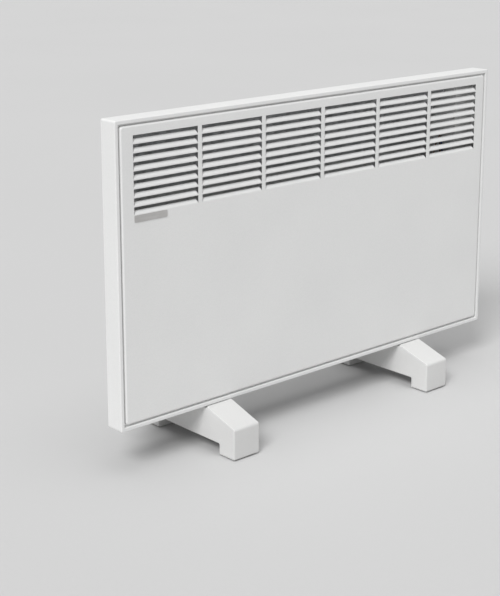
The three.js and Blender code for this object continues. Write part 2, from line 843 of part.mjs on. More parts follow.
// Ceramic bush that carries the sheath in a duct side sheet.
function elementBush(name, side) {
  const bore = sheathRadius + seatGap;
  const flangeFrom = innerSheet + seatGap;
  const flangeTo = flangeFrom + bushFlange;
  const ring = turnedPiece([
    [bore, -bushReach],
    [bushBodyRadius, -bushReach],
    [bushBodyRadius, flangeFrom],
    [bushFlangeRadius, flangeFrom],
    [bushFlangeRadius, flangeTo],
    [bore, flangeTo],
  ]);
  const turn = side > 0 ? -Math.PI / 2 : Math.PI / 2;
  ring.rotateZ(turn).translate(side * ductHalfWidth, elementY, elementHeight);
  return named(name, ceramic, ring);
}

// Disc cut-out on a small plate that lies on the heat shield, with two tabs.
function thermalCutout() {
  const z = elementHeight + cutoutRise;
  const plateY = shieldY - seatGap;
  const plateHalf = cutoutPlateLength / 2;
  const plate = box(
    cutoutX - plateHalf,
    cutoutX + plateHalf,
    plateY - innerSheet,
    plateY,
    z - cutoutRadius / 2,
    z + cutoutRadius / 2,
  );
  const disc = solidOf(rodY(cutoutRadius, cutoutX, z, plateY - cutoutHeight, plateY - innerSheet / 2, 24));
  const tabs = [-1, 1].map((side) => {
    const x = cutoutX + (side * cutoutRadius) / 2;
    const tabFront = plateY - cutoutHeight - cutoutTab;
    return box(
      x - innerSheet / 2,
      x + innerSheet / 2,
      tabFront,
      plateY - cutoutHeight + tiny,
      z - cutoutTabWidth / 2,
      z + cutoutTabWidth / 2,
    );
  });
  return named("thermal_cutout", darkPlastic, geometryOf(joined([plate, disc, ...tabs])));
}

// ---------------------------------------------------------------- controls

// Shell on the side of the rear box, open towards it.
function controlHousing() {
  const y0 = controlY - controlLength / 2;
  const y1 = controlY + controlLength / 2;
  const lead = controlEdgeRadius + 2 * tiny; // runs past the open side, then is cut off
  const outside = rectangle(y0, y1, controlBottom, controlTop, controlCorner);
  const inside = rectangle(
    y0 + controlWall,
    y1 - controlWall,
    controlBottom + controlWall,
    controlTop - controlWall,
    controlCorner - controlWall,
  );
  const shell = solidOf(prismX(outside, controlX - lead, controlFaceX, controlEdgeRadius));
  const core = solidOf(prismX(inside, controlX - lead, controlFaceX - controlWall));
  const openSide = box(
    controlX - lead - tiny,
    controlX,
    y0 - tiny,
    y1 + tiny,
    controlBottom - tiny,
    controlTop + tiny,
  );
  const wallFrom = controlFaceX - controlWall - tiny;
  const wallTo = controlFaceX + tiny;
  const bushingHole = solidOf(rodX(bushingRadius + seatGap, controlY, knobZ, wallFrom, wallTo, 24));
  const switchHalfWidth = switchWidth / 2 - switchRim + seatGap;
  const switchHalfHeight = switchHeight / 2 - switchRim + seatGap;
  const switchHole = box(
    wallFrom,
    wallTo,
    controlY - switchHalfWidth,
    controlY + switchHalfWidth,
    switchZ - switchHalfHeight,
    switchZ + switchHalfHeight,
  );
  const floorTop = controlBottom + controlWall;
  const glandHole = solidOf(
    rodZ(glandWaist + seatGap, glandX, controlY, controlBottom - tiny, floorTop + tiny, 24),
  );
  const housing = cut(shell, [core, openSide, bushingHole, switchHole, glandHole]);
  return named("control_housing", palePlastic, geometryOf(housing));
}

const thermostatFront = controlFaceX - controlWall - seatGap;
const shaftInner = thermostatFront - shaftInsertion;
const bushingEnd = controlFaceX + bushingProud;
const knobBack = controlFaceX + knobStandoff;
const shaftOuter = knobBack + knobHeight - knobFace;

function thermostatBody() {
  const half = thermostatSize / 2;
  const block = box(
    thermostatFront - thermostatDepth,
    thermostatFront,
    controlY - half,
    controlY + half,
    knobZ - half,
    knobZ + half,
  );
  const bushing = solidOf(rodX(bushingRadius, controlY, knobZ, thermostatFront - tiny, bushingEnd, 24));
  const bore = solidOf(
    rodX(shaftRadius + seatGap, controlY, knobZ, shaftInner - seatGap, bushingEnd + tiny, 20),
  );
  return named("thermostat_body", darkPlastic, geometryOf(cut(joined([block, bushing]), [bore])));
}

// A round bar with a flat along the part that the knob grips.
function flattedBar(radius, flat, x0, x1, flatFrom) {
  const bar = solidOf(rodX(radius, controlY, knobZ, x0, x1, 20));
  const chip = box(
    flatFrom,
    x1 + tiny,
    controlY - 2 * radius,
    controlY + 2 * radius,
    knobZ - 2 * radius,
    knobZ - radius + flat,
  );
  return bar.subtract(chip);
}

function thermostatShaft() {
  const shaft = flattedBar(shaftRadius, shaftFlat, shaftInner, shaftOuter - seatGap, bushingEnd + tiny);
  return named("thermostat_shaft", steel, geometryOf(shaft));
}

function thermostatKnob() {
  const skirt = knobRadius - knobWall;
  const hub = shaftRadius + knobHubWall;
  const hubBack = bushingProud - knobStandoff + 1; // clears the bushing's end
  const turnedKnob = solidOf(
    alongX(
      new THREE.LatheGeometry(
        [
          [0, hubBack],
          [hub, hubBack],
          [hub, knobDish],
          [skirt, knobDish],
          [skirt, 0],
          [knobRadius, 0],
          [knobRadius, 1],
          [knobTopRadius, knobHeight - knobCrownEdge],
          [knobTopRadius - knobCrownEdge, knobHeight],
          [0, knobHeight],
        ].map(([radius, height]) => new THREE.Vector2(radius, height)),
        26,
      ).rotateX(Math.PI / 2),
    ).translate(knobBack, controlY, knobZ),
  );
  const bore = flattedBar(
    shaftRadius + seatGap,
    shaftFlat,
    knobBack + hubBack - tiny,
    shaftOuter,
    knobBack + hubBack - 2 * tiny,
  );
  const fluteCircle = knobTopRadius + fluteRadius - 0.5;
  const flutes = Array.from({ length: knobFlutes }, (_, i) => {
    const angle = ((i + 0.5) * 2 * Math.PI) / knobFlutes;
    const y = controlY + fluteCircle * Math.sin(angle);
    const z = knobZ + fluteCircle * Math.cos(angle);
    return solidOf(rodX(fluteRadius, y, z, knobBack + knobWall, knobBack + knobHeight + tiny, 6));
  });
  const crown = knobBack + knobHeight;
  const pointer = box(
    crown - tiny,
    crown + pointerHeight,
    controlY - pointerWidth / 2,
    controlY + pointerWidth / 2,
    knobZ + hub,
    knobZ + knobTopRadius - 2 * knobCrownEdge,
  );
  const knob = joined([cut(turnedKnob, [bore, ...flutes]), pointer]);
  return named("thermostat_knob", darkPlastic, geometryOf(knob));
}

const switchSeatX = controlFaceX + seatGap;
const switchBodyHalfWidth = switchWidth / 2 - switchRim;
const switchBodyHalfHeight = switchHeight / 2 - switchRim;
const rockerRadius = switchBodyHalfHeight - rockerWall - seatGap;
const rockerHalfWidth = switchBodyHalfWidth - rockerWall - seatGap;
const rockerPivotX = controlFaceX;

function switchFrame() {
  const rim = solidOf(
    prismX(
      rectangle(
        controlY - switchWidth / 2,
        controlY + switchWidth / 2,
        switchZ - switchHeight / 2,
        switchZ + switchHeight / 2,
        switchCorner,
      ),
      switchSeatX,
      switchSeatX + switchRim,
      switchEdgeRadius,
    ),
  );
  const body = box(
    switchSeatX - switchDepth,
    switchSeatX + switchRim / 2,
    controlY - switchBodyHalfWidth,
    controlY + switchBodyHalfWidth,
    switchZ - switchBodyHalfHeight,
    switchZ + switchBodyHalfHeight,
  );
  const well = box(
    rockerPivotX - switchWellDepth,
    switchSeatX + switchRim + tiny,
    controlY - switchBodyHalfWidth + rockerWall,
    controlY + switchBodyHalfWidth - rockerWall,
    switchZ - switchBodyHalfHeight + rockerWall,
    switchZ + switchBodyHalfHeight - rockerWall,
  );
  const trunnionHoles = solidOf(
    rodY(
      trunnionRadius + seatGap,
      rockerPivotX,
      switchZ,
      controlY - switchBodyHalfWidth - tiny,
      controlY + switchBodyHalfWidth + tiny,
      14,
    ),
  );
  return named("switch_frame", darkPlastic, geometryOf(cut(joined([rim, body]), [well, trunnionHoles])));
}

// See-saw rocker: its ends are arcs about the pivot, its face a shallow V. Local X is out, local Y is up.
function switchRocker() {
  const faceAngle = THREE.MathUtils.degToRad(38);
  const heelAngle = THREE.MathUtils.degToRad(25);
  const clockwise = true;
  const arc = (from, to) =>
    new THREE.EllipseCurve(0, 0, rockerRadius, rockerRadius, from, to, clockwise)
      .getPoints(6)
      .map((p) => [p.x, p.y]);
  const quarter = Math.PI / 2;
  const upper = arc(quarter + heelAngle, quarter - faceAngle);
  const lower = arc(faceAngle - quarter, -quarter - heelAngle);
  const profile = new THREE.Shape(
    [...upper, [rockerHollow, 0], ...lower, [-rockerBack, 0]].map(([x, z]) => new THREE.Vector2(x, z)),
  );
  const body = alongY(prism(profile, 2 * rockerHalfWidth)).translate(0, rockerHalfWidth, 0);
  const trunnionHalf = switchBodyHalfWidth - rockerWall / 2;
  const trunnions = rodY(trunnionRadius, 0, 0, -trunnionHalf, trunnionHalf, 14);
  const rocker = geometryOf(joined([solidOf(body), solidOf(trunnions)]));
  rocker.rotateY(THREE.MathUtils.degToRad(rockerTilt)).translate(rockerPivotX, controlY, switchZ);
  return named("switch_rocker", darkPlastic, rocker);
}

// Cable inlet: a waisted ring clamped in the floor of the control housing.
function cableGland() {
  const upper = controlWall + seatGap;
  const ring = turnedPiece([
    [glandBore, upper + glandNut],
    [glandBore, -glandLength],
    [glandBore + glandTipWall, -glandLength],
    [glandRadius, -glandLength + glandTaper],
    [glandRadius, -seatGap],
    [glandWaist, -seatGap],
    [glandWaist, upper],
    [glandRadius, upper],
    [glandRadius, upper + glandNut],
  ]);
  ring.rotateX(Math.PI / 2).translate(glandX, controlY, controlBottom);
  return named("cable_gland", palePlastic, ring);
}

const terminalBlockTop = controlBottom + terminalBlockLift + terminalBlockWidth;

// Screw terminals on the rear box side, inside the control housing.
function terminalBlock() {
  const x0 = controlX;
  const x1 = controlX + terminalBlockHeight;
  const block = box(
    x0,
    x1,
    controlY - terminalBlockLength / 2,
    controlY + terminalBlockLength / 2,
    terminalBlockTop - terminalBlockWidth,
    terminalBlockTop,
  );
  const middleZ = terminalBlockTop - terminalBlockWidth / 2;
  const polePitch = terminalBlockLength / 3;
  const wells = [-1, 0, 1].map((pole) =>
    solidOf(
      rodX(terminalWellRadius, controlY + pole * polePitch, middleZ, x1 - terminalWellDepth, x1 + tiny, 12),
    ),
  );
  return named("terminal_block", palePlastic, geometryOf(cut(block, wells)));
}

// ---------------------------------------------------------------- sensor and wiring

const sensorX = rearInnerHalf - seatGap - sensorStandoff;

function roomSensor() {
  const profile = [
    [0, 0],
    [bulbRadius - bulbNose, 0],
    [bulbRadius, bulbNose],
    [bulbRadius, bulbLength - bulbRadius],
    [capillaryRadius + seatGap, bulbLength],
    [0, bulbLength],
  ].map(([radius, height]) => new THREE.Vector2(radius, height));
  const bulb = new THREE.LatheGeometry(profile, 14).rotateX(Math.PI / 2);
  return named("room_sensor", copper, bulb.translate(sensorX, sensorY, bulbHeight));
}

// Ring round the bulb on a block that lies on the rear box side.
function sensorClip() {
  const z0 = bulbHeight + (bulbLength - clipHeight) / 2;
  const z1 = z0 + clipHeight;
  const ringRadius = bulbRadius + seatGap + clipWall;
  const ring = solidOf(rodZ(ringRadius, sensorX, sensorY, z0, z1, 20));
  const base = box(
    sensorX,
    rearInnerHalf - seatGap,
    sensorY - ringRadius,
    sensorY + ringRadius,
    z0,
    z1,
  );
  const bore = solidOf(rodZ(bulbRadius + seatGap, sensorX, sensorY, z0 - tiny, z1 + tiny, 20));
  return named("sensor_clip", palePlastic, geometryOf(cut(joined([ring, base]), [bore])));
}

const thermostatRear = thermostatFront - thermostatDepth;

function sensorCapillary() {
  const start = bulbHeight + bulbLength + seatGap;
  const points = [
    [sensorX, sensorY, start],
    [sensorX, sensorY, start + 30],
    [sensorX, sensorY, (start + wiringZ) / 2],
    [sensorX, sensorY, wiringZ - 30],
    [rearInnerHalf - 2, controlY + 4, wiringZ - 3],
    [rearHalf + 2, controlY + 3, wiringZ + 1],
    [thermostatRear - 7, controlY, knobZ - 3],
    [thermostatRear - 4, controlY, knobZ],
    [thermostatRear - seatGap, controlY, knobZ],
  ];
  return named("sensor_capillary", copper, tubeAlong(points, capillaryRadius, 5, 22));
}

function leadLive() {
  const pinTop = elementHeight + terminalRadius + seatGap;
  const pinX = ductHalfWidth + sheathOverhang + terminalLength * 0.6;
  const points = [
    [pinX, elementY, pinTop],
    [pinX, elementY, pinTop + 14],
    [pinX + 1, elementY + 2, (pinTop + wiringZ) / 2],
    [rearInnerHalf - 6, controlY - 3, wiringZ - 22],
    [rearInnerHalf - 3, controlY - 1, wiringZ - 1],
    [rearHalf + 4, controlY - 1, wiringZ + 2],
    [controlX + 6, controlY, wiringZ - 16],
    [controlX + 6, controlY + 1, terminalBlockTop + 16],
    [controlX + 6, controlY + 1, terminalBlockTop + seatGap],
  ];
  return named("lead_live", brownWire, tubeAlong(points, leadRadius, 6, 24));
}

function leadNeutral() {
  const pinX = ductHalfWidth + sheathOverhang + terminalLength * 0.6;
  const pinBottom = elementHeight - terminalRadius - seatGap;
  const runY = ductFrontY - ductFrontGap / 2;
  const runZ = casingBottom + sheet + collarHeight + leadRadius + 4;
  const sideX = ductHalfWidth + 12;
  const points = [
    [-pinX, elementY, pinBottom],
    [-pinX, elementY, pinBottom - 14],
    [-pinX, elementY - 12, runZ + 22],
    [-sideX, runY + 1, runZ + 3],
    [-sideX + 40, runY, runZ],
    [-ductHalfWidth / 3, runY, runZ],
    [ductHalfWidth / 3, runY, runZ],
    [sideX - 40, runY, runZ],
    [sideX, runY + 1, runZ + 3],
    [pinX + 2, elementY - 14, runZ + 22],
    [pinX + 2, elementY - 8, elementHeight],
    [pinX + 2, elementY - 4, (elementHeight + wiringZ) / 2],
    [rearInnerHalf - 7, controlY - 9, wiringZ - 26],
    [rearInnerHalf - 5, controlY - 5, wiringZ - 2],
    [rearHalf + 4, controlY - 5, wiringZ + 2],
    [controlX + 6, controlY - 8, wiringZ - 18],
    [controlX + 6, controlY - 10, terminalBlockTop + 16],
    [controlX + 6, controlY - 10, terminalBlockTop + seatGap],
  ];
  return named("lead_neutral", blueWire, tubeAlong(points, leadRadius, 6, 46));
}

// ---------------------------------------------------------------- the heater

const heater = new THREE.Group();
heater.add(frontPanel(), casingFrame(), rearBox());

const sides = { left: -1, right: 1 };
for (const [sideName, side] of Object.entries(sides)) {
  const x = (side * footSpacing) / 2;
  heater.add(bridgeFoot(`foot_${sideName}`, x));
  heater.add(footPad(`foot_pad_${sideName}_toe`, x, -1), footPad(`foot_pad_${sideName}_heel`, x, 1));
  heater.add(footScrew(`foot_screw_${sideName}_front`, x, bossPlaces[0]));
  heater.add(footScrew(`foot_screw_${sideName}_rear`, x, bossPlaces[1]));
  heater.add(ductSide(`duct_side_${sideName}`, side));
  heater.add(elementBush(`element_bush_${sideName}`, side));
  heater.add(terminalPin(`terminal_pin_${sideName}`, side));
}

heater.add(heatShield(), airBaffle(), elementBlock(), elementSheath(), thermalCutout());
heater.add(controlHousing(), thermostatBody(), thermostatShaft(), thermostatKnob());
heater.add(switchFrame(), switchRocker(), cableGland(), terminalBlock());
heater.add(roomSensor(), sensorClip(), sensorCapillary(), leadLive(), leadNeutral());

export default heater;
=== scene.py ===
"""Looks of a wall panel convector heater on two bridge feet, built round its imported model.

Everything is in metres in the model's own frame: X across the heater, the louvred front
faces -Y, Z points up, and the origin is on the floor between the feet.
"""

import json
import math

import bmesh
import bpy
from mathutils import Matrix, Vector
from mathutils.geometry import delaunay_2d_cdt


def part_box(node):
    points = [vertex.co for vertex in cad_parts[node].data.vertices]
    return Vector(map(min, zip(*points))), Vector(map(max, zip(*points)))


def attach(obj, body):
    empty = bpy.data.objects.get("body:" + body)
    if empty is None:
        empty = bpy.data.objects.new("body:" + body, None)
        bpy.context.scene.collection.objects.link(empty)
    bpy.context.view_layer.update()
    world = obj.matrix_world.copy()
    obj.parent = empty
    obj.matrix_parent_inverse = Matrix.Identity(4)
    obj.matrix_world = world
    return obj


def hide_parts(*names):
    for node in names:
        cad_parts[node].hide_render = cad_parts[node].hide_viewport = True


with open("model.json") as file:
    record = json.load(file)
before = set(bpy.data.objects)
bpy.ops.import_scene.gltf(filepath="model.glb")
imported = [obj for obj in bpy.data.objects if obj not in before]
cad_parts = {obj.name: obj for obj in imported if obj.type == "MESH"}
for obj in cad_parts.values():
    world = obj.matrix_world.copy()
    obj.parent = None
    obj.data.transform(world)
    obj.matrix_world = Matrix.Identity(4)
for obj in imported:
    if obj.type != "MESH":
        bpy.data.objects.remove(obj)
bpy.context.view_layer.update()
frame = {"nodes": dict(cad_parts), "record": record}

MM = 0.001
SCENE = bpy.context.scene

# ---------------------------------------------------------------- sizes that the frame doesn't give

SHEET = 0.8 * MM
LIP_WIDTH = 6 * MM
LEDGE_DEPTH = 5 * MM  # casing's front to the ledge that the panel rests on
LEDGE_WIDTH = 10 * MM
SEAT_GAP = 0.3 * MM
CASING_EDGE = 1.6 * MM
CASING_CORNER = 3 * MM
CASING_BEND = 0.8 * MM
INNER_CORNER = 0.6 * MM
PANEL_ROLL = 3 * MM
PANEL_CORNER = 5 * MM
PANEL_RIM = 0.22 * MM  # broken edge of the cut sheet

LOUVRE_COLUMNS = 6
LOUVRE_ROWS = 9
LOUVRE_WIDTH = 116 * MM
LOUVRE_DIVIDER = 7.5 * MM
LOUVRE_PITCH = 12.65 * MM
LOUVRE_OPENING = 5.4 * MM
LOUVRE_THROW = 4.2 * MM
LOUVRE_TOP_DROP = 14 * MM  # panel's upper edge to the first slot
BLADE_FLAT = 1.3 * MM
BLADE_BELLY = 0.55  # share of the blade's height at which its curve turns in
BLADE_RELIEF = 2.4 * MM
BLADE_FALL = 0.7  # how quickly a blade narrows: below 1 most at its foot
BLADE_STEPS = 9
BLADE_END_SHARES = (0, 0.006, 0.014, 0.025, 0.045, 0.09, 0.2, 0.35)

PLATE_WIDTH = 58 * MM
PLATE_HEIGHT = 10 * MM
PLATE_THICKNESS = 0.8 * MM
PLATE_DROP = 9.2 * MM  # foot of the lowest blade to the plate's lower edge
PLATE_CORNER = 1.2 * MM
PLATE_EDGE = 0.25 * MM

REAR_EDGE = 5 * MM
REAR_CORNER = 9 * MM
REAR_FLANGE = 12 * MM
FLANGE_CORNER = 3 * MM
FLANGE_SIDE_SCREWS = (0.08, 0.5, 0.9)  # shares of the flange's height
FLANGE_TOP_SCREWS = (-0.72, -0.24, 0.24, 0.72)  # shares of the side screws' distance
FLANGE_SCREW_OUT = 0.5 * MM  # middle of the flange to its screws
BEAD_DROPS = (217.5 * MM, 339.3 * MM)  # rear box top to each bead's middle
BEAD_MARGIN = 90 * MM
BEAD_HEIGHT = 9 * MM
BEAD_DEPTH = 1.6 * MM
BEAD_SLOPE = 1.4 * MM
BEAD_STEPS = 5
INTAKE_PITCH = 15 * MM
INTAKE_WIDTH = 5.5 * MM
INTAKE_LENGTH = 32 * MM
INTAKE_SHIFT = 0.15 * MM  # intake slots in front of the middle of the box
KEYHOLE_SPACING = 420 * MM
KEYHOLE_DROP = 62 * MM  # rear box top to the middle of a keyhole's head
KEYHOLE_HEAD = 6 * MM
KEYHOLE_SLOT = 2.8 * MM
KEYHOLE_RISE = 12 * MM

SCREW_SIDES = 28
SCREW_RIM = 0.25  # share of the head's height below its dome
SCREW_CROWN = 0.35  # radius of the dome's top, as a share of the head's
SCREW_ARM = 0.62  # reach of the cross recess, as a share of the head's radius
SCREW_WING = 0.15  # half its width, likewise
SCREW_RECESS = 1.1 * MM
SCREW_TURNS = (17, 41)  # degrees: where the first screw stops, and each one after it
FLANGE_SCREW = (3.5 * MM, 2 * MM)  # radius and height of its head
CONTROL_SCREW = (2.6 * MM, 1.3 * MM)
CONTROL_SCREW_INSET = 9 * MM

KNOB_FLUTES = 14
KNOB_FLUTE = 1.7 * MM
KNOB_FLUTE_SINK = 0.5 * MM  # how far a flute's circle runs into the crown
KNOB_FLUTE_FLOOR = 2 * MM
KNOB_FLUTE_STEPS = 16
KNOB_TAPER = 1.9 * MM  # skirt's radius less the crown's
KNOB_SKIRT = 1 * MM  # straight part at the back
KNOB_WALL = 2 * MM
KNOB_HOLLOW = 3.2 * MM
KNOB_INNER_EDGE = 0.2 * MM
KNOB_OUTER_EDGE = 0.3 * MM
KNOB_EDGE = 0.9 * MM
KNOB_DISH = 0.4 * MM
KNOB_DISH_RIM = 2.6 * MM  # crown's radius less the dish's, at its rim and at its floor
KNOB_DISH_FLOOR = 3.2 * MM
POINTER_PROUD = 0.6 * MM
POINTER_HALF = 1 * MM
POINTER_START = 6.6 * MM  # from the knob's axis
POINTER_MARGIN = 1.6 * MM
POINTER_CORNER = 0.9 * MM
POINTER_EDGE = 0.15 * MM
POINTER_DRAFT = 0.8  # its width at the top, as a share of that at its foot

DIAL_DOTS = 10
DIAL_SWEEP = 270  # degrees, the knob's own range
DIAL_DOT = 0.45 * MM
DIAL_GAP = 0.85 * MM  # knob's skirt to the circle of the dots
DOT_SIDES = 20
MARK_HEIGHT = 0.2 * MM
MARK_REACH = 1.5 * MM  # half the height of the bar and of the ring
MARK_OFFSET = 3.7 * MM  # rocker's middle to each mark
BAR_HALF = 0.35 * MM
BAR_CORNER = 0.2 * MM
RING_HOLLOW = 0.9 * MM
RING_SIDES = 28

SMOOTH_ANGLE = 35  # degrees: edges that turn less are shaded smooth
SMOOTH_ANGLE_PACKED = 38
SMOOTH_ANGLE_KNOB = 28
WELD = 0.002 * MM
HAIR = 0.01 * MM  # keeps the two ends of a slot's round from falling together

PHOTO_HEIGHT = 596  # pixels
CAMERA_PLACE = (-1.511, -1.5575, 0.838)
CAMERA_YAW = 41.94  # degrees from +Y towards +X
CAMERA_PITCH = 13.94  # degrees below the horizon
CAMERA_FOCUS = 1403.2  # in the photograph's pixels
CAMERA_SHIFT = -0.12

# ---------------------------------------------------------------- camera, lamps and floor


def add_camera():
    data = bpy.data.cameras.new("camera")
    data.lens = CAMERA_FOCUS * data.sensor_width / PHOTO_HEIGHT
    data.shift_y = CAMERA_SHIFT
    data.clip_start = 0.05
    data.clip_end = 60
    camera = bpy.data.objects.new("camera", data)
    camera.location = CAMERA_PLACE
    camera.rotation_euler = (math.radians(90 - CAMERA_PITCH), 0, math.radians(-CAMERA_YAW))
    SCENE.collection.objects.link(camera)
    SCENE.camera = camera


def add_sun(name, towards, strength, spread):
    """A distant lamp that stands in the direction towards, with a disc of spread degrees."""
    data = bpy.data.lights.new(name, "SUN")
    data.energy = strength
    data.angle = math.radians(spread)
    lamp = bpy.data.objects.new(name, data)
    lamp.rotation_euler = Vector(towards).to_track_quat("Z", "Y").to_euler()
    SCENE.collection.objects.link(lamp)


def add_world(light, seen):
    """Even light of strength light from all sides; the camera and clear reflections see seen."""
    world = bpy.data.worlds.new("studio")
    world.use_nodes = True
    nodes, links = world.node_tree.nodes, world.node_tree.links
    nodes.clear()
    path = nodes.new("ShaderNodeLightPath")
    either = nodes.new("ShaderNodeMath")
    either.operation = "MAXIMUM"
    both = nodes.new("ShaderNodeMath")
    both.operation = "MAXIMUM"
    links.new(path.outputs["Is Camera Ray"], either.inputs[0])
    links.new(path.outputs["Is Glossy Ray"], either.inputs[1])
    links.new(either.outputs[0], both.inputs[0])
    links.new(path.outputs["Is Transmission Ray"], both.inputs[1])
    lighting = nodes.new("ShaderNodeBackground")
    lighting.inputs["Color"].default_value = (1, 1, 1, 1)
    lighting.inputs["Strength"].default_value = light
    backdrop = nodes.new("ShaderNodeBackground")
    backdrop.inputs["Color"].default_value = (seen, seen, seen, 1)
    mix = nodes.new("ShaderNodeMixShader")
    links.new(both.outputs[0], mix.inputs["Fac"])
    links.new(lighting.outputs[0], mix.inputs[1])
    links.new(backdrop.outputs[0], mix.inputs[2])
    output = nodes.new("ShaderNodeOutputWorld")
    links.new(mix.outputs[0], output.inputs["Surface"])
    SCENE.world = world


def add_floor(size, tone):
    bpy.ops.mesh.primitive_plane_add(size=size)
    floor = bpy.context.object
    floor.name = "floor"
    floor.data.materials.append(floor_finish(tone))


# ---------------------------------------------------------------- finishes


class Finish:
    """A principled material and the few node patterns that the finishes below share."""

    def __init__(self, name, metallic=0.0, specular=0.5):
        self.material = bpy.data.materials.new(name)
        self.material.use_nodes = True
        self.nodes = self.material.node_tree.nodes
        self.links = self.material.node_tree.links
        self.shader = self.nodes["Principled BSDF"]
        self.shader.inputs["Metallic"].default_value = metallic
        self.shader.inputs["Specular IOR Level"].default_value = specular
        self.place = self.nodes.new("ShaderNodeTexCoord").outputs["Object"]

    def stretched(self, factors):
        mapping = self.nodes.new("ShaderNodeMapping")
        mapping.inputs["Scale"].default_value = factors
        self.links.new(self.place, mapping.inputs["Vector"])
        return mapping.outputs["Vector"]

    def noise(self, scale, detail=2.0, place=None):
        node = self.nodes.new("ShaderNodeTexNoise")
        node.inputs["Scale"].default_value = scale
        node.inputs["Detail"].default_value = detail
        self.links.new(place or self.place, node.inputs["Vector"])
        return node.outputs["Fac"]

    def cells(self, scale):
        node = self.nodes.new("ShaderNodeTexVoronoi")
        node.inputs["Scale"].default_value = scale
        self.links.new(self.place, node.inputs["Vector"])
        return node.outputs["Color"]

    def spread(self, source, low, high, span=(0.3, 0.7)):
        """source, which runs through span, brought to the range from low to high."""
        node = self.nodes.new("ShaderNodeMapRange")
        node.inputs["From Min"].default_value = span[0]
        node.inputs["From Max"].default_value = span[1]
        node.inputs["To Min"].default_value = low
        node.inputs["To Max"].default_value = high
        self.links.new(source, node.inputs["Value"])
        return node.outputs["Result"]

    def mixed(self, first, second, share):
        """first and second blended, with share of the second."""
        mix = self.nodes.new("ShaderNodeMix")
        mix.inputs["Factor"].default_value = share
        self.links.new(first, mix.inputs["A"])
        self.links.new(second, mix.inputs["B"])
        return mix.outputs["Result"]

    def tones(self, source, dark, light, span=(0.3, 0.7)):
        """Base colour that runs from dark to light as source runs through span."""
        factor = self.spread(source, 0, 1, span)
        mix = self.nodes.new("ShaderNodeMix")
        mix.data_type = "RGBA"
        mix.inputs["A"].default_value = (*dark, 1)
        mix.inputs["B"].default_value = (*light, 1)
        self.links.new(factor, mix.inputs["Factor"])
        self.links.new(mix.outputs["Result"], self.shader.inputs["Base Color"])

    def roughness(self, source, low, high):
        self.links.new(self.spread(source, low, high), self.shader.inputs["Roughness"])

    def relief(self, source, height, strength):
        bump = self.nodes.new("ShaderNodeBump")
        bump.inputs["Strength"].default_value = strength
        bump.inputs["Distance"].default_value = height
        self.links.new(source, bump.inputs["Height"])
        self.links.new(bump.outputs["Normal"], self.shader.inputs["Normal"])


def powder_coat():
    """White satin powder coat: fine orange peel with slight, slow changes of tone."""
    finish = Finish("white_powder_coat", specular=0.42)
    peel = finish.noise(620, 3)
    slow = finish.noise(7)
    finish.tones(finish.mixed(peel, slow, 0.45), (0.775, 0.778, 0.775), (0.83, 0.832, 0.826))
    finish.roughness(peel, 0.4, 0.5)
    finish.relief(peel, 0.035 * MM, 0.6)
    return finish.material


def moulded_white():
    """White moulded plastic with a fine spark-eroded grain."""
    finish = Finish("white_moulding", specular=0.4)
    grain = finish.noise(1350)
    slow = finish.noise(14)
    finish.tones(finish.mixed(grain, slow, 0.5), (0.655, 0.655, 0.65), (0.725, 0.725, 0.718))
    finish.roughness(grain, 0.46, 0.6)
    finish.relief(grain, 0.04 * MM, 0.7)
    return finish.material


def moulded_grey():
    """Pale grey-white moulding of the control housing."""
    finish = Finish("control_moulding", specular=0.4)
    grain = finish.noise(1100)
    slow = finish.noise(22)
    finish.tones(finish.mixed(grain, slow, 0.5), (0.72, 0.72, 0.71), (0.79, 0.79, 0.78))
    finish.roughness(grain, 0.42, 0.56)
    finish.relief(grain, 0.04 * MM, 0.7)
    return finish.material


def moulded_dark():
    """Charcoal moulding of the knob, the switch and the thermostat."""
    finish = Finish("charcoal_moulding")
    grain = finish.noise(1500)
    slow = finish.noise(40)
    finish.tones(finish.mixed(grain, slow, 0.4), (0.03, 0.032, 0.035), (0.06, 0.063, 0.068))
    finish.roughness(grain, 0.34, 0.5)
    finish.relief(grain, 0.03 * MM, 0.8)
    return finish.material


def zinc_sheet():
    """Galvanised sheet with its spangle."""
    finish = Finish("zinc_sheet", metallic=0.6)
    spangle = finish.cells(85)
    dull = finish.noise(30, 3)
    shade = finish.mixed(spangle, dull, 0.35)
    finish.tones(shade, (0.5, 0.51, 0.52), (0.68, 0.69, 0.7), span=(0.15, 0.85))
    finish.roughness(spangle, 0.34, 0.52)
    finish.relief(dull, 0.05 * MM, 0.5)
    return finish.material


def drawn_aluminium():
    """Extruded aluminium with die lines that run along X."""
    finish = Finish("drawn_aluminium", metallic=1.0)
    lines = finish.noise(900, place=finish.stretched((0.01, 1, 1)))
    slow = finish.noise(12)
    finish.tones(finish.mixed(lines, slow, 0.4), (0.5, 0.505, 0.51), (0.68, 0.685, 0.69))
    finish.roughness(lines, 0.3, 0.48)
    finish.relief(lines, 0.02 * MM, 0.8)
    return finish.material


def plated_steel():
    """Zinc-plated steel with faint turning marks."""
    finish = Finish("plated_steel", metallic=1.0)
    marks = finish.noise(2200, 3, finish.stretched((1, 1, 0.3)))
    slow = finish.noise(120)
    finish.tones(finish.mixed(marks, slow, 0.5), (0.42, 0.43, 0.44), (0.6, 0.61, 0.61))
    finish.roughness(marks, 0.24, 0.42)
    finish.relief(marks, 0.01 * MM, 0.6)
    return finish.material


def brushed_plate():
    """Satin aluminium, brushed along X, of the bare plate."""
    finish = Finish("brushed_plate", metallic=1.0)
    lines = finish.noise(2600, 3, finish.stretched((0.012, 1, 1)))
    slow = finish.noise(60)
    finish.tones(finish.mixed(lines, slow, 0.3), (0.5, 0.49, 0.48), (0.66, 0.65, 0.64))
    finish.roughness(lines, 0.28, 0.44)
    finish.relief(lines, 0.012 * MM, 0.6)
    return finish.material


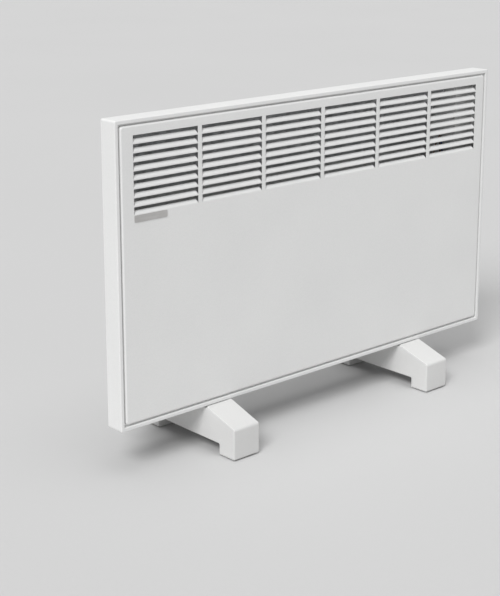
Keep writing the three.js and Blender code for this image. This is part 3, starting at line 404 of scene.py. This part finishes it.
def soft_rubber():
    """Black rubber of the pads under the feet."""
    finish = Finish("soft_rubber")
    grain = finish.noise(900, 3)
    finish.tones(grain, (0.018, 0.018, 0.018), (0.042, 0.042, 0.041))
    finish.roughness(grain, 0.72, 0.9)
    finish.relief(grain, 0.05 * MM, 0.8)
    return finish.material


def fired_ceramic():
    """Cream ceramic of the element's bushes."""
    finish = Finish("fired_ceramic")
    specks = finish.noise(700, 4)
    finish.tones(specks, (0.66, 0.62, 0.54), (0.8, 0.77, 0.7))
    finish.roughness(specks, 0.6, 0.8)
    finish.relief(specks, 0.05 * MM, 0.8)
    return finish.material


def drawn_copper():
    """Copper of the room-air sensor and its capillary."""
    finish = Finish("drawn_copper", metallic=1.0)
    patina = finish.noise(160, 4)
    finish.tones(patina, (0.4, 0.17, 0.09), (0.72, 0.38, 0.24))
    finish.roughness(patina, 0.3, 0.52)
    finish.relief(patina, 0.01 * MM, 0.5)
    return finish.material


def wire_sleeve(name, dark, light):
    """Sleeve of a lead inside the heater."""
    finish = Finish(name)
    braid = finish.noise(1400)
    finish.tones(braid, dark, light)
    finish.roughness(braid, 0.5, 0.68)
    finish.relief(braid, 0.04 * MM, 0.6)
    return finish.material


def floor_finish(tone):
    """Plain pale floor that varies by little round tone."""
    finish = Finish("pale_floor", specular=0.25)
    slow = finish.noise(1.2)
    fine = finish.noise(160)
    change = 0.008
    finish.tones(finish.mixed(slow, fine, 0.5), (tone - change,) * 3, (tone + change,) * 3)
    finish.roughness(fine, 0.62, 0.72)
    return finish.material


def all_finishes():
    """The finish of each material slot that the frame's record names."""
    return {
        "white_paint": powder_coat(),
        "white_plastic": moulded_white(),
        "control_plastic": moulded_grey(),
        "dark_plastic": moulded_dark(),
        "galvanised": zinc_sheet(),
        "aluminium": drawn_aluminium(),
        "steel": plated_steel(),
        "rubber": soft_rubber(),
        "ceramic": fired_ceramic(),
        "copper": drawn_copper(),
        "brown_wire": wire_sleeve("brown_sleeve", (0.06, 0.025, 0.013), (0.12, 0.055, 0.03)),
        "blue_wire": wire_sleeve("blue_sleeve", (0.012, 0.035, 0.13), (0.03, 0.08, 0.26)),
    }


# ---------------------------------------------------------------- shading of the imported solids


def shading_group(angle):
    """Geometry nodes that weld a mesh and smooth its edges that turn less than angle."""
    group = bpy.data.node_groups.new("smooth_shading", "GeometryNodeTree")
    group.interface.new_socket("Geometry", in_out="INPUT", socket_type="NodeSocketGeometry")
    group.interface.new_socket("Geometry", in_out="OUTPUT", socket_type="NodeSocketGeometry")
    nodes, links = group.nodes, group.links
    source = nodes.new("NodeGroupInput")
    sink = nodes.new("NodeGroupOutput")
    weld = nodes.new("GeometryNodeMergeByDistance")
    weld.inputs["Distance"].default_value = WELD
    turn = nodes.new("GeometryNodeInputMeshEdgeAngle")
    gentle = nodes.new("FunctionNodeCompare")
    gentle.operation = "LESS_THAN"
    gentle.inputs["B"].default_value = math.radians(angle)
    faces = nodes.new("GeometryNodeSetShadeSmooth")
    edges = nodes.new("GeometryNodeSetShadeSmooth")
    edges.domain = "EDGE"
    links.new(source.outputs[0], weld.inputs["Geometry"])
    links.new(weld.outputs["Geometry"], faces.inputs["Geometry"])
    links.new(faces.outputs["Geometry"], edges.inputs["Geometry"])
    links.new(turn.outputs["Unsigned Angle"], gentle.inputs["A"])
    links.new(gentle.outputs["Result"], edges.inputs["Shade Smooth"])
    links.new(edges.outputs["Geometry"], sink.inputs[0])
    return group


def dress_packed_solids(finishes):
    group = shading_group(SMOOTH_ANGLE_PACKED)
    slots = {row["node"]: row["material_slot"] for row in frame["record"]["subparts"]}
    for name, solid in frame["nodes"].items():
        solid.data.materials.clear()
        solid.data.materials.append(finishes[slots[name]])
        shading = solid.modifiers.new("smooth_shading", "NODES")
        shading.node_group = group
        even_normals(solid)


# ---------------------------------------------------------------- mesh tools


class Skin:
    """Collects patches of vertices and faces into one list each."""

    def __init__(self):
        self.vertices = []
        self.faces = []

    def add(self, vertices, faces):
        first = len(self.vertices)
        self.vertices += vertices
        self.faces += [tuple(first + i for i in face) for face in faces]


def piece_from(name, skin, finishes, slot, body, smooth_angle=SMOOTH_ANGLE):
    """A piece made of a skin, welded, facing out and shaded smooth below smooth_angle."""
    mesh = bpy.data.meshes.new(name)
    mesh.from_pydata(skin.vertices, [], skin.faces)
    piece = bpy.data.objects.new(name, mesh)
    SCENE.collection.objects.link(piece)
    mesh.materials.append(finishes[slot])
    tidy_mesh(mesh, smooth_angle)
    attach(piece, body)
    return piece


def tidy_mesh(mesh, smooth_angle):
    work = bmesh.new()
    work.from_mesh(mesh)
    bmesh.ops.remove_doubles(work, verts=work.verts, dist=WELD)
    bmesh.ops.dissolve_degenerate(work, edges=work.edges, dist=WELD / 2)
    bmesh.ops.recalc_face_normals(work, faces=work.faces)
    work.to_mesh(mesh)
    work.free()
    mesh.polygons.foreach_set("use_smooth", [True] * len(mesh.polygons))
    mesh.set_sharp_from_angle(angle=math.radians(smooth_angle))
    mesh.update()


def applied(piece):
    """Applies the modifiers of a piece and shades the result."""
    bpy.context.view_layer.update()
    evaluated = piece.evaluated_get(bpy.context.evaluated_depsgraph_get())
    mesh = bpy.data.meshes.new_from_object(evaluated)
    piece.modifiers.clear()
    old = piece.data
    piece.data = mesh
    bpy.data.meshes.remove(old)
    mesh.name = piece.name
    tidy_mesh(mesh, SMOOTH_ANGLE)


def thicken(piece, thickness):
    """Turns an open skin into a sheet that has its thickness behind it."""
    solid = piece.modifiers.new("thickness", "SOLIDIFY")
    solid.thickness = thickness
    solid.offset = -1
    solid.use_even_offset = True
    applied(piece)


def break_edges(piece, width):
    """Rounds the edges of a sheet that turn by more than 60 degrees."""
    edge = piece.modifiers.new("rim", "BEVEL")
    edge.width = width
    edge.segments = 2
    edge.limit_method = "ANGLE"
    edge.angle_limit = math.radians(60)
    edge.use_clamp_overlap = True
    applied(piece)


def even_normals(piece):
    flat = piece.modifiers.new("even_normals", "WEIGHTED_NORMAL")
    flat.keep_sharp = True


def rounded_rectangle(low_a, high_a, low_b, high_b, radius, steps):
    """Anticlockwise points of a rectangle with round corners, steps + 1 of them at each corner."""
    corners = [
        (high_a - radius, low_b + radius, -90),
        (high_a - radius, high_b - radius, 0),
        (low_a + radius, high_b - radius, 90),
        (low_a + radius, low_b + radius, 180),
    ]
    points = []
    for a, b, start in corners:
        for i in range(steps + 1):
            angle = math.radians(start + 90 * i / steps)
            points.append((a + radius * math.cos(angle), b + radius * math.sin(angle)))
    return points


def circle(radius, sides):
    turns = [math.tau * k / sides for k in range(sides)]
    return [(radius * math.cos(turn), radius * math.sin(turn)) for turn in turns]


def upright(outline, y):
    """An outline of points (x, z) stood up at y."""
    return [(x, y, z) for x, z in outline]


def upright_ring(span, inset, y, radius, steps):
    """A rounded rectangle at y that lies inset within span, the limits of X and Z."""
    x0, x1, z0, z1 = span
    outline = rounded_rectangle(x0 + inset, x1 - inset, z0 + inset, z1 - inset, radius, steps)
    return upright(outline, y)


def loft(rings, closed=False):
    """Vertices and faces of the skin through rings of equally many points."""
    count = len(rings[0])
    vertices = [point for ring in rings for point in ring]
    faces = []
    spans = len(rings) if closed else len(rings) - 1
    for r in range(spans):
        here, there = r * count, ((r + 1) % len(rings)) * count
        for i in range(count):
            j = (i + 1) % count
            faces.append((here + i, here + j, there + j, there + i))
    return vertices, faces


def last_cap(rings):
    """The face that fills the last ring of a loft."""
    count = len(rings[0])
    return tuple(range(count * (len(rings) - 1), count * len(rings)))


def capped(rings):
    """A loft whose first and last rings are filled."""
    vertices, faces = loft(rings)
    first_cap = tuple(reversed(range(len(rings[0]))))
    return vertices, faces + [first_cap, last_cap(rings)]


def inside(point, polygon):
    a, b = point
    hit = False
    for (a0, b0), (a1, b1) in zip(polygon, polygon[1:] + polygon[:1]):
        if (b0 > b) != (b1 > b) and a < a0 + (b - b0) / (b1 - b0) * (a1 - a0):
            hit = not hit
    return hit


def near_box(point, polygon):
    """True if point lies in the box round polygon."""
    across = [p[0] for p in polygon]
    along = [p[1] for p in polygon]
    return min(across) <= point[0] <= max(across) and min(along) <= point[1] <= max(along)


def flat_with_holes(outline, holes=()):
    """Points and triangles of a flat region with polygonal holes."""
    points, edges = [], []
    for polygon in [outline, *holes]:
        first = len(points)
        points += [Vector(p) for p in polygon]
        edges += [(first + i, first + (i + 1) % len(polygon)) for i in range(len(polygon))]
    made, _, triangles, *_ = delaunay_2d_cdt(points, edges, [], 1, 1e-7)
    kept = []
    for triangle in triangles:
        centre = sum((made[i] for i in triangle), Vector((0, 0))) / len(triangle)
        near = [hole for hole in holes if near_box(centre, hole)]
        if inside(centre, outline) and not any(inside(centre, hole) for hole in near):
            kept.append(tuple(triangle))
    return [tuple(p) for p in made], kept


def prism(outline, place, levels):
    """A flat outline run through two levels; place turns a, b and a level into a point."""
    rings = [[place(a, b, level) for a, b in outline] for level in levels]
    return capped(rings)


def cut_through(piece, prisms):
    """Cuts closed prisms out of a piece."""
    skin = Skin()
    for vertices, faces in prisms:
        skin.add(vertices, faces)
    mesh = bpy.data.meshes.new("punches")
    mesh.from_pydata(skin.vertices, [], skin.faces)
    tidy_mesh(mesh, SMOOTH_ANGLE)
    tool = bpy.data.objects.new("punches", mesh)
    SCENE.collection.objects.link(tool)
    cut = piece.modifiers.new("cut", "BOOLEAN")
    cut.operation = "DIFFERENCE"
    cut.solver = "EXACT"
    cut.object = tool
    applied(piece)
    bpy.data.objects.remove(tool)
    bpy.data.meshes.remove(mesh)


# ---------------------------------------------------------------- front panel


def louvre_lefts():
    """X of the left end of each column of louvres."""
    step = LOUVRE_WIDTH + LOUVRE_DIVIDER
    span = LOUVRE_COLUMNS * step - LOUVRE_DIVIDER
    return [-span / 2 + column * step for column in range(LOUVRE_COLUMNS)]


def louvre_feet():
    """Z of the foot of each row of louvres, from the top down."""
    slot_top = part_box("front_panel")[1].z - LOUVRE_TOP_DROP
    return [slot_top - (row + 1) * LOUVRE_PITCH for row in range(LOUVRE_ROWS)]


def blade_section(front):
    """Points (y, z above the blade's foot) up a blade, from where it leaves the panel's plane."""
    height = LOUVRE_PITCH - LOUVRE_OPENING
    start = Vector((front, BLADE_FLAT))
    middle = Vector((front, height * BLADE_BELLY))
    end = Vector((front + LOUVRE_THROW, height))
    points = []
    for i in range(BLADE_STEPS + 1):
        t = i / BLADE_STEPS
        points.append(start * (1 - t) ** 2 + middle * 2 * t * (1 - t) + end * t * t)
    return points


def blade_shares():
    """How far along its width a blade has its points: closer together towards its ends."""
    return [*BLADE_END_SHARES, 0.5, *(1 - share for share in reversed(BLADE_END_SHARES))]


def louvre_blade(section, left, foot):
    """A blade over a slot: full width at its foot, drawn in towards its free upper edge."""
    shares = blade_shares()
    vertices = []
    rise = section[-1].y - section[0].y
    for y, up in section:
        inset = BLADE_RELIEF * ((up - section[0].y) / rise) ** BLADE_FALL
        width = LOUVRE_WIDTH - 2 * inset
        vertices += [(left + inset + width * share, y, foot + up) for share in shares]
    count = len(shares)
    faces = []
    for row in range(len(section) - 1):
        for i in range(count - 1):
            a = row * count + i
            faces.append((a, a + 1, a + 1 + count, a + count))
    return vertices, faces


def louvre_slot(left, foot):
    """Outline (x, z) of the opening in the panel that a blade and the slot over it take up."""
    sill = [(left + LOUVRE_WIDTH * share, foot + BLADE_FLAT) for share in blade_shares()]
    head = foot + LOUVRE_PITCH
    return sill + [(left + LOUVRE_WIDTH, head), (left, head)]


def panel_edge(low, high, back):
    """Rings from the panel's flat front round its rolled edge to its seat on the ledge."""
    span = (low.x, high.x, low.z, high.z)
    rings = []
    for i in range(7):
        turn = math.radians(15 * i)
        inset = PANEL_ROLL * (1 - math.sin(turn))
        y = low.y + PANEL_ROLL * (1 - math.cos(turn))
        rings.append(upright_ring(span, inset, y, PANEL_CORNER - inset, 8))
    return rings + [[(x, back, z) for x, _, z in rings[-1]]]


def front_panel(finishes):
    low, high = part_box("front_panel")
    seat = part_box("casing_frame")[0].y + LEDGE_DEPTH - SEAT_GAP
    skin = Skin()
    edge = panel_edge(low, high, min(seat, high.y))
    skin.add(*loft(edge))
    places = [(left, foot) for left in louvre_lefts() for foot in louvre_feet()]
    outline = [(x, z) for x, _, z in edge[0]]
    points, triangles = flat_with_holes(outline, [louvre_slot(*place) for place in places])
    skin.add(upright(points, low.y), triangles)
    section = blade_section(low.y)
    for left, foot in places:
        skin.add(*louvre_blade(section, left, foot))
    panel = piece_from("louvred_panel", skin, finishes, "white_paint", "heater")
    thicken(panel, SHEET)
    break_edges(panel, PANEL_RIM)
    even_normals(panel)
    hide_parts("front_panel")


# ---------------------------------------------------------------- casing frame


def bend(start, end, hollow):
    """Insets, places in Y and corner radii round a quarter bend from start to end."""
    rows = []
    for i in range(5):
        turn = math.radians(22.5 * i)
        across, along = 1 - math.cos(turn), math.sin(turn)
        if hollow:
            across, along = math.sin(turn), 1 - math.cos(turn)
        shares = (across, along, across)
        rows.append([a + (b - a) * share for a, b, share in zip(start, end, shares)])
    return rows


def casing_frame(finishes):
    """The tray round the panel: lip, ledge and sides, with its back open to the rear box."""
    low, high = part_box("casing_frame")
    span = (low.x, high.x, low.z, high.z)
    front, back = low.y, high.y
    ledge = front + LEDGE_DEPTH
    corner, inner = CASING_CORNER, INNER_CORNER
    rows = bend((CASING_BEND, back, corner - CASING_BEND), (0, back - CASING_BEND, corner), True)
    rows += bend(
        (0, front + CASING_EDGE, corner), (CASING_EDGE, front, corner - CASING_EDGE), False
    )
    rows += bend(
        (LIP_WIDTH - CASING_BEND, front, inner + CASING_BEND),
        (LIP_WIDTH, front + CASING_BEND, inner),
        True,
    )
    rows += [
        (LIP_WIDTH, ledge, inner),
        (LIP_WIDTH + LEDGE_WIDTH, ledge, inner),
        (LIP_WIDTH + LEDGE_WIDTH, ledge + SHEET, inner),
        (LIP_WIDTH - SHEET, ledge + SHEET, inner),
        (LIP_WIDTH - SHEET, front + SHEET, inner),
        (SHEET, front + SHEET, corner - SHEET),
        (SHEET, back - SHEET, corner - SHEET),
    ]
    rings = [upright_ring(span, inset, y, radius, 6) for inset, y, radius in rows]

    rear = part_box("rear_box")[1]
    half = rear.x - REAR_FLANGE - SHEET
    mouth = (-half, half, low.z + LIP_WIDTH, rear.z - REAR_FLANGE - SHEET)
    rings += [upright_ring(mouth, 0, y, inner, 6) for y in (back - SHEET, back)]
    skin = Skin()
    skin.add(*loft(rings, closed=True))
    casing = piece_from("casing_shell", skin, finishes, "white_paint", "heater")
    even_normals(casing)
    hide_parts("casing_frame")


# ---------------------------------------------------------------- bare plate


def bare_plate(finishes):
    """The small plain plate under the lowest louvre of the first column."""
    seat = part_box("front_panel")[0].y
    left, bottom = louvre_lefts()[0], louvre_feet()[-1] - PLATE_DROP
    span = (left, left + PLATE_WIDTH, bottom, bottom + PLATE_HEIGHT)
    face = seat - PLATE_THICKNESS
    rows = [
        (0, seat),
        (0, face + PLATE_EDGE),
        (PLATE_EDGE / 3, face + PLATE_EDGE / 3),
        (PLATE_EDGE, face),
    ]
    skin = Skin()
    skin.add(*capped([upright_ring(span, inset, y, PLATE_CORNER - inset, 5) for inset, y in rows]))
    brushed = {**finishes, "aluminium": brushed_plate()}
    plate = piece_from("bare_plate", skin, brushed, "aluminium", "heater")
    even_normals(plate)


# ---------------------------------------------------------------- rear box


def pan_wall(span, seat, back):
    """Rings from the pan's seat on the casing, up its walls and round its edge to its back."""
    rings = [upright_ring(span, 0, seat, REAR_CORNER, 9)]
    for i in range(8):
        turn = math.radians(90 * i / 7)
        inset = REAR_EDGE * (1 - math.cos(turn))
        y = back - REAR_EDGE + REAR_EDGE * math.sin(turn)
        rings.append(upright_ring(span, inset, y, REAR_CORNER - inset, 9))
    return rings


def stiffening_bead(half, middle, back):
    """Rings from the pan's back down the slope of a long bead that is pressed in."""
    span = (-half, half, middle - BEAD_HEIGHT / 2, middle + BEAD_HEIGHT / 2)
    rings = []
    for i in range(BEAD_STEPS + 1):
        share = i / BEAD_STEPS
        fall = share * share * (3 - 2 * share)
        inset = BEAD_SLOPE * share
        radius = BEAD_HEIGHT / 2 - inset - HAIR
        rings.append(upright_ring(span, inset, back - BEAD_DEPTH * fall, radius, 8))
    return rings


def keyhole_outline(x, z):
    """Points (x, z) round a keyhole with its head at x, z and its slot above it."""
    neck = math.degrees(math.acos(KEYHOLE_SLOT / KEYHOLE_HEAD))
    points = []
    for i in range(33):
        angle = math.radians(neck - (180 + 2 * neck) * i / 32)
        points.append((x + KEYHOLE_HEAD * math.cos(angle), z + KEYHOLE_HEAD * math.sin(angle)))
    top = z + KEYHOLE_RISE
    for i in range(17):
        angle = math.radians(180 - 180 * i / 16)
        points.append((x + KEYHOLE_SLOT * math.cos(angle), top + KEYHOLE_SLOT * math.sin(angle)))
    return points[::-1]


def keyholes(top, back):
    """Prisms that cut the two keyholes through the pan's back."""
    return [
        prism(
            keyhole_outline(side * KEYHOLE_SPACING / 2, top - KEYHOLE_DROP),
            lambda x, z, y: (x, y, z),
            (back - 2 * MM, back + MM),
        )
        for side in (-1, 1)
    ]


def intake_slots(half, seat, back, bottom):
    """Prisms that cut the row of intake slots through the pan's bottom, clear of the feet."""
    middle = (seat + back) / 2 - INTAKE_SHIFT
    feet = [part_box(name) for name in ("foot_left", "foot_right")]
    count = 2 * math.floor((half - SHEET - 2 * INTAKE_PITCH) / INTAKE_PITCH) + 1
    prisms = []
    for i in range(count):
        x = (i - (count - 1) / 2) * INTAKE_PITCH
        if any(low.x - INTAKE_WIDTH < x < high.x + INTAKE_WIDTH for low, high in feet):
            continue
        outline = rounded_rectangle(
            x - INTAKE_WIDTH / 2,
            x + INTAKE_WIDTH / 2,
            middle - INTAKE_LENGTH / 2,
            middle + INTAKE_LENGTH / 2,
            INTAKE_WIDTH / 2 - HAIR,
            6,
        )
        prisms.append(prism(outline, lambda x, y, z: (x, y, z), (bottom - MM, bottom + 2 * MM)))
    return prisms


def rear_box(finishes):
    """The shallow pan behind the casing, with its beads, keyholes and intake slots."""
    low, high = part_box("rear_box")
    seat, back, bottom = low.y, high.y, low.z
    half = high.x - REAR_FLANGE
    top = high.z - REAR_FLANGE
    skin = Skin()
    wall = pan_wall((-half, half, bottom, top), seat, back)
    skin.add(*loft(wall))
    holes = []
    for drop in BEAD_DROPS:
        bead = stiffening_bead(half - BEAD_MARGIN, top - drop, back)
        holes.append([(x, z) for x, _, z in bead[0]])
        vertices, faces = loft(bead)
        skin.add(vertices, faces + [last_cap(bead)])
    points, triangles = flat_with_holes([(x, z) for x, _, z in wall[-1]], holes)
    skin.add(upright(points, back), triangles)
    pan = piece_from("rear_pan", skin, finishes, "white_paint", "heater")
    thicken(pan, SHEET)
    cut_through(pan, keyholes(top, back) + intake_slots(half, seat, back, bottom))
    even_normals(pan)
    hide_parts("rear_box")


def rear_flange(finishes):
    """The flange round three sides of the pan, and the screws that hold it to the casing."""
    low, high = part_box("rear_box")
    pan_half, pan_top = high.x - REAR_FLANGE, high.z - REAR_FLANGE
    foot = low.z + LIP_WIDTH
    inner = pan_half - SHEET / 2
    outline = [(inner, foot), (high.x, foot)]
    for i in range(6, -1, -1):
        turn = math.radians(15 * i)
        x = high.x - FLANGE_CORNER + FLANGE_CORNER * math.sin(turn)
        z = high.z - FLANGE_CORNER + FLANGE_CORNER * math.cos(turn)
        outline.append((x, z))
    outline += [(-x, z) for x, z in reversed(outline)]
    outline += [(-inner, pan_top - SHEET / 2), (inner, pan_top - SHEET / 2)]
    faces_y = (low.y, low.y + SHEET)
    points, triangles = flat_with_holes(outline)
    skin = Skin()
    skin.add(*loft([upright(outline, y) for y in faces_y]))
    for y in faces_y:
        skin.add(upright(points, y), triangles)
    flange = piece_from("rear_flange", skin, finishes, "white_paint", "heater")
    even_normals(flange)

    side_x = (pan_half + high.x) / 2 + FLANGE_SCREW_OUT
    top_z = (pan_top + high.z) / 2 + FLANGE_SCREW_OUT
    rise = high.z - foot
    places = [
        (side * side_x, foot + rise * share) for side in (-1, 1) for share in FLANGE_SIDE_SCREWS
    ]
    places += [(share * side_x, top_z) for share in FLANGE_TOP_SCREWS]
    seats = [(x, low.y + SHEET, z) for x, z in places]
    screws("flange_screws", seats, (0, 1, 0), *FLANGE_SCREW, finishes)


def screw_head(name, radius, height):
    """Mesh of a pan head that stands on Z = 0, with a cross recess."""
    profile = [(radius, 0), (radius, height * SCREW_RIM)]
    for i in range(1, 7):
        turn = math.radians(15 * i)
        r = radius * (SCREW_CROWN + (1 - SCREW_CROWN) * math.cos(turn))
        profile.append((r, height * (SCREW_RIM + (1 - SCREW_RIM) * math.sin(turn))))
    rings = [[(x, y, h) for x, y in circle(r, SCREW_SIDES)] for r, h in profile]
    vertices, faces = capped(rings)
    mesh = bpy.data.meshes.new(name)
    mesh.from_pydata(vertices, [], faces)
    tidy_mesh(mesh, SMOOTH_ANGLE)
    sample = bpy.data.objects.new(name, mesh)
    SCENE.collection.objects.link(sample)
    arm, wing = radius * SCREW_ARM, radius * SCREW_WING
    quarter = [(arm, -wing), (arm, wing), (wing, wing)]
    cross = []
    for _ in range(4):
        cross += quarter
        quarter = [(-b, a) for a, b in quarter]
    recess = prism(cross, lambda x, y, z: (x, y, z), (height - SCREW_RECESS, height + MM))
    cut_through(sample, [recess])
    return sample


def screws(name, seats, axis, radius, height, finishes):
    """A piece made of alike screw heads at the given seats, each turned by its own angle."""
    sample = screw_head(name + "_head", radius, height)
    shape = [vertex.co.copy() for vertex in sample.data.vertices]
    sides = [tuple(polygon.vertices) for polygon in sample.data.polygons]
    bpy.data.objects.remove(sample)
    aim = Vector(axis).to_track_quat("Z", "Y").to_matrix()
    start, step = SCREW_TURNS
    skin = Skin()
    for i, seat in enumerate(seats):
        spin = Matrix.Rotation(math.radians(start + step * i), 3, "Z")
        skin.add([tuple(Vector(seat) + aim @ spin @ point) for point in shape], sides)
    piece = piece_from(name, skin, finishes, "steel", "heater")
    even_normals(piece)


# ---------------------------------------------------------------- controls


def fluted_reach(radius, turn, flute_circle):
    """Radius, at an angle, of a ring of the knob that the flutes cut into."""
    off = (turn * KNOB_FLUTES / math.tau) % 1
    away = (off - 0.5) * math.tau / KNOB_FLUTES
    across = flute_circle * math.sin(away)
    if abs(across) >= KNOB_FLUTE:
        return radius
    wall = flute_circle * math.cos(away) - math.sqrt(KNOB_FLUTE**2 - across**2)
    return min(radius, wall)


def knob_profile(radius, crown, height):
    """Radii, heights and whether it is fluted, for each ring from the hollow back to the dish."""
    lean = KNOB_TAPER / (height - KNOB_EDGE - KNOB_SKIRT)
    inner = radius - KNOB_WALL
    flute_foot = radius - lean * (KNOB_FLUTE_FLOOR - KNOB_SKIRT)
    rows = [
        (inner, KNOB_HOLLOW, False),
        (inner, KNOB_INNER_EDGE, False),
        (inner + KNOB_INNER_EDGE, 0, False),
        (radius - KNOB_OUTER_EDGE, 0, False),
        (radius, KNOB_OUTER_EDGE, False),
        (radius, KNOB_SKIRT, False),
        (flute_foot, KNOB_FLUTE_FLOOR, False),
        (flute_foot, KNOB_FLUTE_FLOOR, True),
        (crown + lean * height / 2, (KNOB_FLUTE_FLOOR + height) / 2, True),
    ]
    for i in range(7):
        turn = math.radians(15 * i)
        r = crown - KNOB_EDGE * (1 - math.cos(turn))
        rows.append((r, height - KNOB_EDGE * (1 - math.sin(turn)), True))
    rows.append((crown - KNOB_DISH_RIM, height, False))
    rows.append((crown - KNOB_DISH_FLOOR, height - KNOB_DISH, False))
    return rows


def control_knob(finishes):
    """Fluted knob whose crown edge and skirt are rounded, with the pointer and the dial's dots."""
    low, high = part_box("thermostat_knob")
    y, z = (low.y + high.y) / 2, (low.z + high.z) / 2
    radius = (high.y - low.y) / 2
    crown = radius - KNOB_TAPER
    height = high.x - low.x - POINTER_PROUD
    flute_circle = crown + KNOB_FLUTE - KNOB_FLUTE_SINK
    count = KNOB_FLUTES * KNOB_FLUTE_STEPS
    turns = [math.tau * k / count for k in range(count)]
    rings = []
    for r, h, fluted in knob_profile(radius, crown, height):
        reaches = [fluted_reach(r, turn, flute_circle) if fluted else r for turn in turns]
        rings.append(
            [
                (low.x + h, y + reach * math.sin(turn), z + reach * math.cos(turn))
                for reach, turn in zip(reaches, turns)
            ]
        )
    skin = Skin()
    skin.add(*capped(rings))
    knob = piece_from(
        "fluted_knob", skin, finishes, "dark_plastic", "knob", smooth_angle=SMOOTH_ANGLE_KNOB
    )
    even_normals(knob)
    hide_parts("thermostat_knob")
    knob_pointer(finishes, y, z, crown, low.x + height, high.x)
    dial_dots(finishes, y, z, radius)


def knob_pointer(finishes, y, z, crown, seat, top):
    """White bar on the knob's crown, upright at rest."""
    rod = rounded_rectangle(
        -POINTER_HALF, POINTER_HALF, POINTER_START, crown - POINTER_MARGIN, POINTER_CORNER, 5
    )
    rows = ((seat - 2 * KNOB_DISH, 1), (top - POINTER_EDGE, 1), (top, POINTER_DRAFT))
    skin = Skin()
    skin.add(*capped([[(x, y + a * share, z + b) for a, b in rod] for x, share in rows]))
    piece_from("knob_pointer", skin, finishes, "white_plastic", "knob")


def dial_dots(finishes, y, z, radius):
    """Raised dots on the control housing, from the pointer's rest over the knob clockwise."""
    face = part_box("control_housing")[1].x
    reach = radius + DIAL_GAP
    rows = (
        (DIAL_DOT, face - MARK_HEIGHT),
        (DIAL_DOT, face + MARK_HEIGHT / 2),
        (DIAL_DOT * 0.8, face + MARK_HEIGHT),
    )
    skin = Skin()
    for i in range(DIAL_DOTS):
        turn = math.radians(DIAL_SWEEP * i / (DIAL_DOTS - 1))
        dot_y, dot_z = y + reach * math.sin(turn), z + reach * math.cos(turn)
        skin.add(
            *capped([[(x, dot_y + a, dot_z + b) for a, b in circle(r, DOT_SIDES)] for r, x in rows])
        )
    piece_from("dial_dots", skin, finishes, "dark_plastic", "heater")


def raised_mark(skin, side, outline, holes):
    """Adds a flat mark to the face of the rocker above (side 1) or below (-1) its middle."""
    low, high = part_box("switch_rocker")
    middle = (low + high) / 2
    start = Vector((high.x + 10 * MM, middle.y, middle.z + side * MARK_OFFSET))
    _, seat, normal, _ = frame["nodes"]["switch_rocker"].ray_cast(start, Vector((-1, 0, 0)))
    across = Vector((0, 1, 0))
    up = normal.cross(across).normalized()
    if up.z < 0:
        up.negate()

    def placed(points, level):
        return [tuple(seat + across * a + up * b + normal * level) for a, b in points]

    levels = (-MARK_HEIGHT, MARK_HEIGHT / 2)
    points, triangles = flat_with_holes(outline, holes)
    for level in levels:
        skin.add(placed(points, level), triangles)
    for loop in [outline, *holes]:
        skin.add(*loft([placed(loop, level) for level in levels]))


def rocker_marks(finishes):
    """A bar and a ring, the usual on and off signs, raised on the two faces of the rocker."""
    skin = Skin()
    bar = rounded_rectangle(-BAR_HALF, BAR_HALF, -MARK_REACH, MARK_REACH, BAR_CORNER, 3)
    raised_mark(skin, 1, bar, [])
    raised_mark(skin, -1, circle(MARK_REACH, RING_SIDES), [circle(RING_HOLLOW, RING_SIDES)])
    piece_from("rocker_marks", skin, finishes, "white_plastic", "rocker")


def control_screws(finishes):
    low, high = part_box("control_housing")
    y = (low.y + high.y) / 2
    heights = (low.z + CONTROL_SCREW_INSET, high.z - CONTROL_SCREW_INSET)
    seats = [(high.x, y, z) for z in heights]
    screws("control_screws", seats, (1, 0, 0), *CONTROL_SCREW, finishes)


# ---------------------------------------------------------------- the scene

add_camera()
add_world(light=0.36, seen=0.67)
add_sun("key", towards=(-0.66, -0.36, 0.66), strength=2.05, spread=24)
add_sun("overhead", towards=(0, -0.1, 1), strength=0.95, spread=50)
add_floor(size=24, tone=0.6)

finishes = all_finishes()
dress_packed_solids(finishes)
front_panel(finishes)
casing_frame(finishes)
bare_plate(finishes)
rear_box(finishes)
rear_flange(finishes)
control_knob(finishes)
control_screws(finishes)
rocker_marks(finishes)

SCENE.view_settings.view_transform = "Standard"
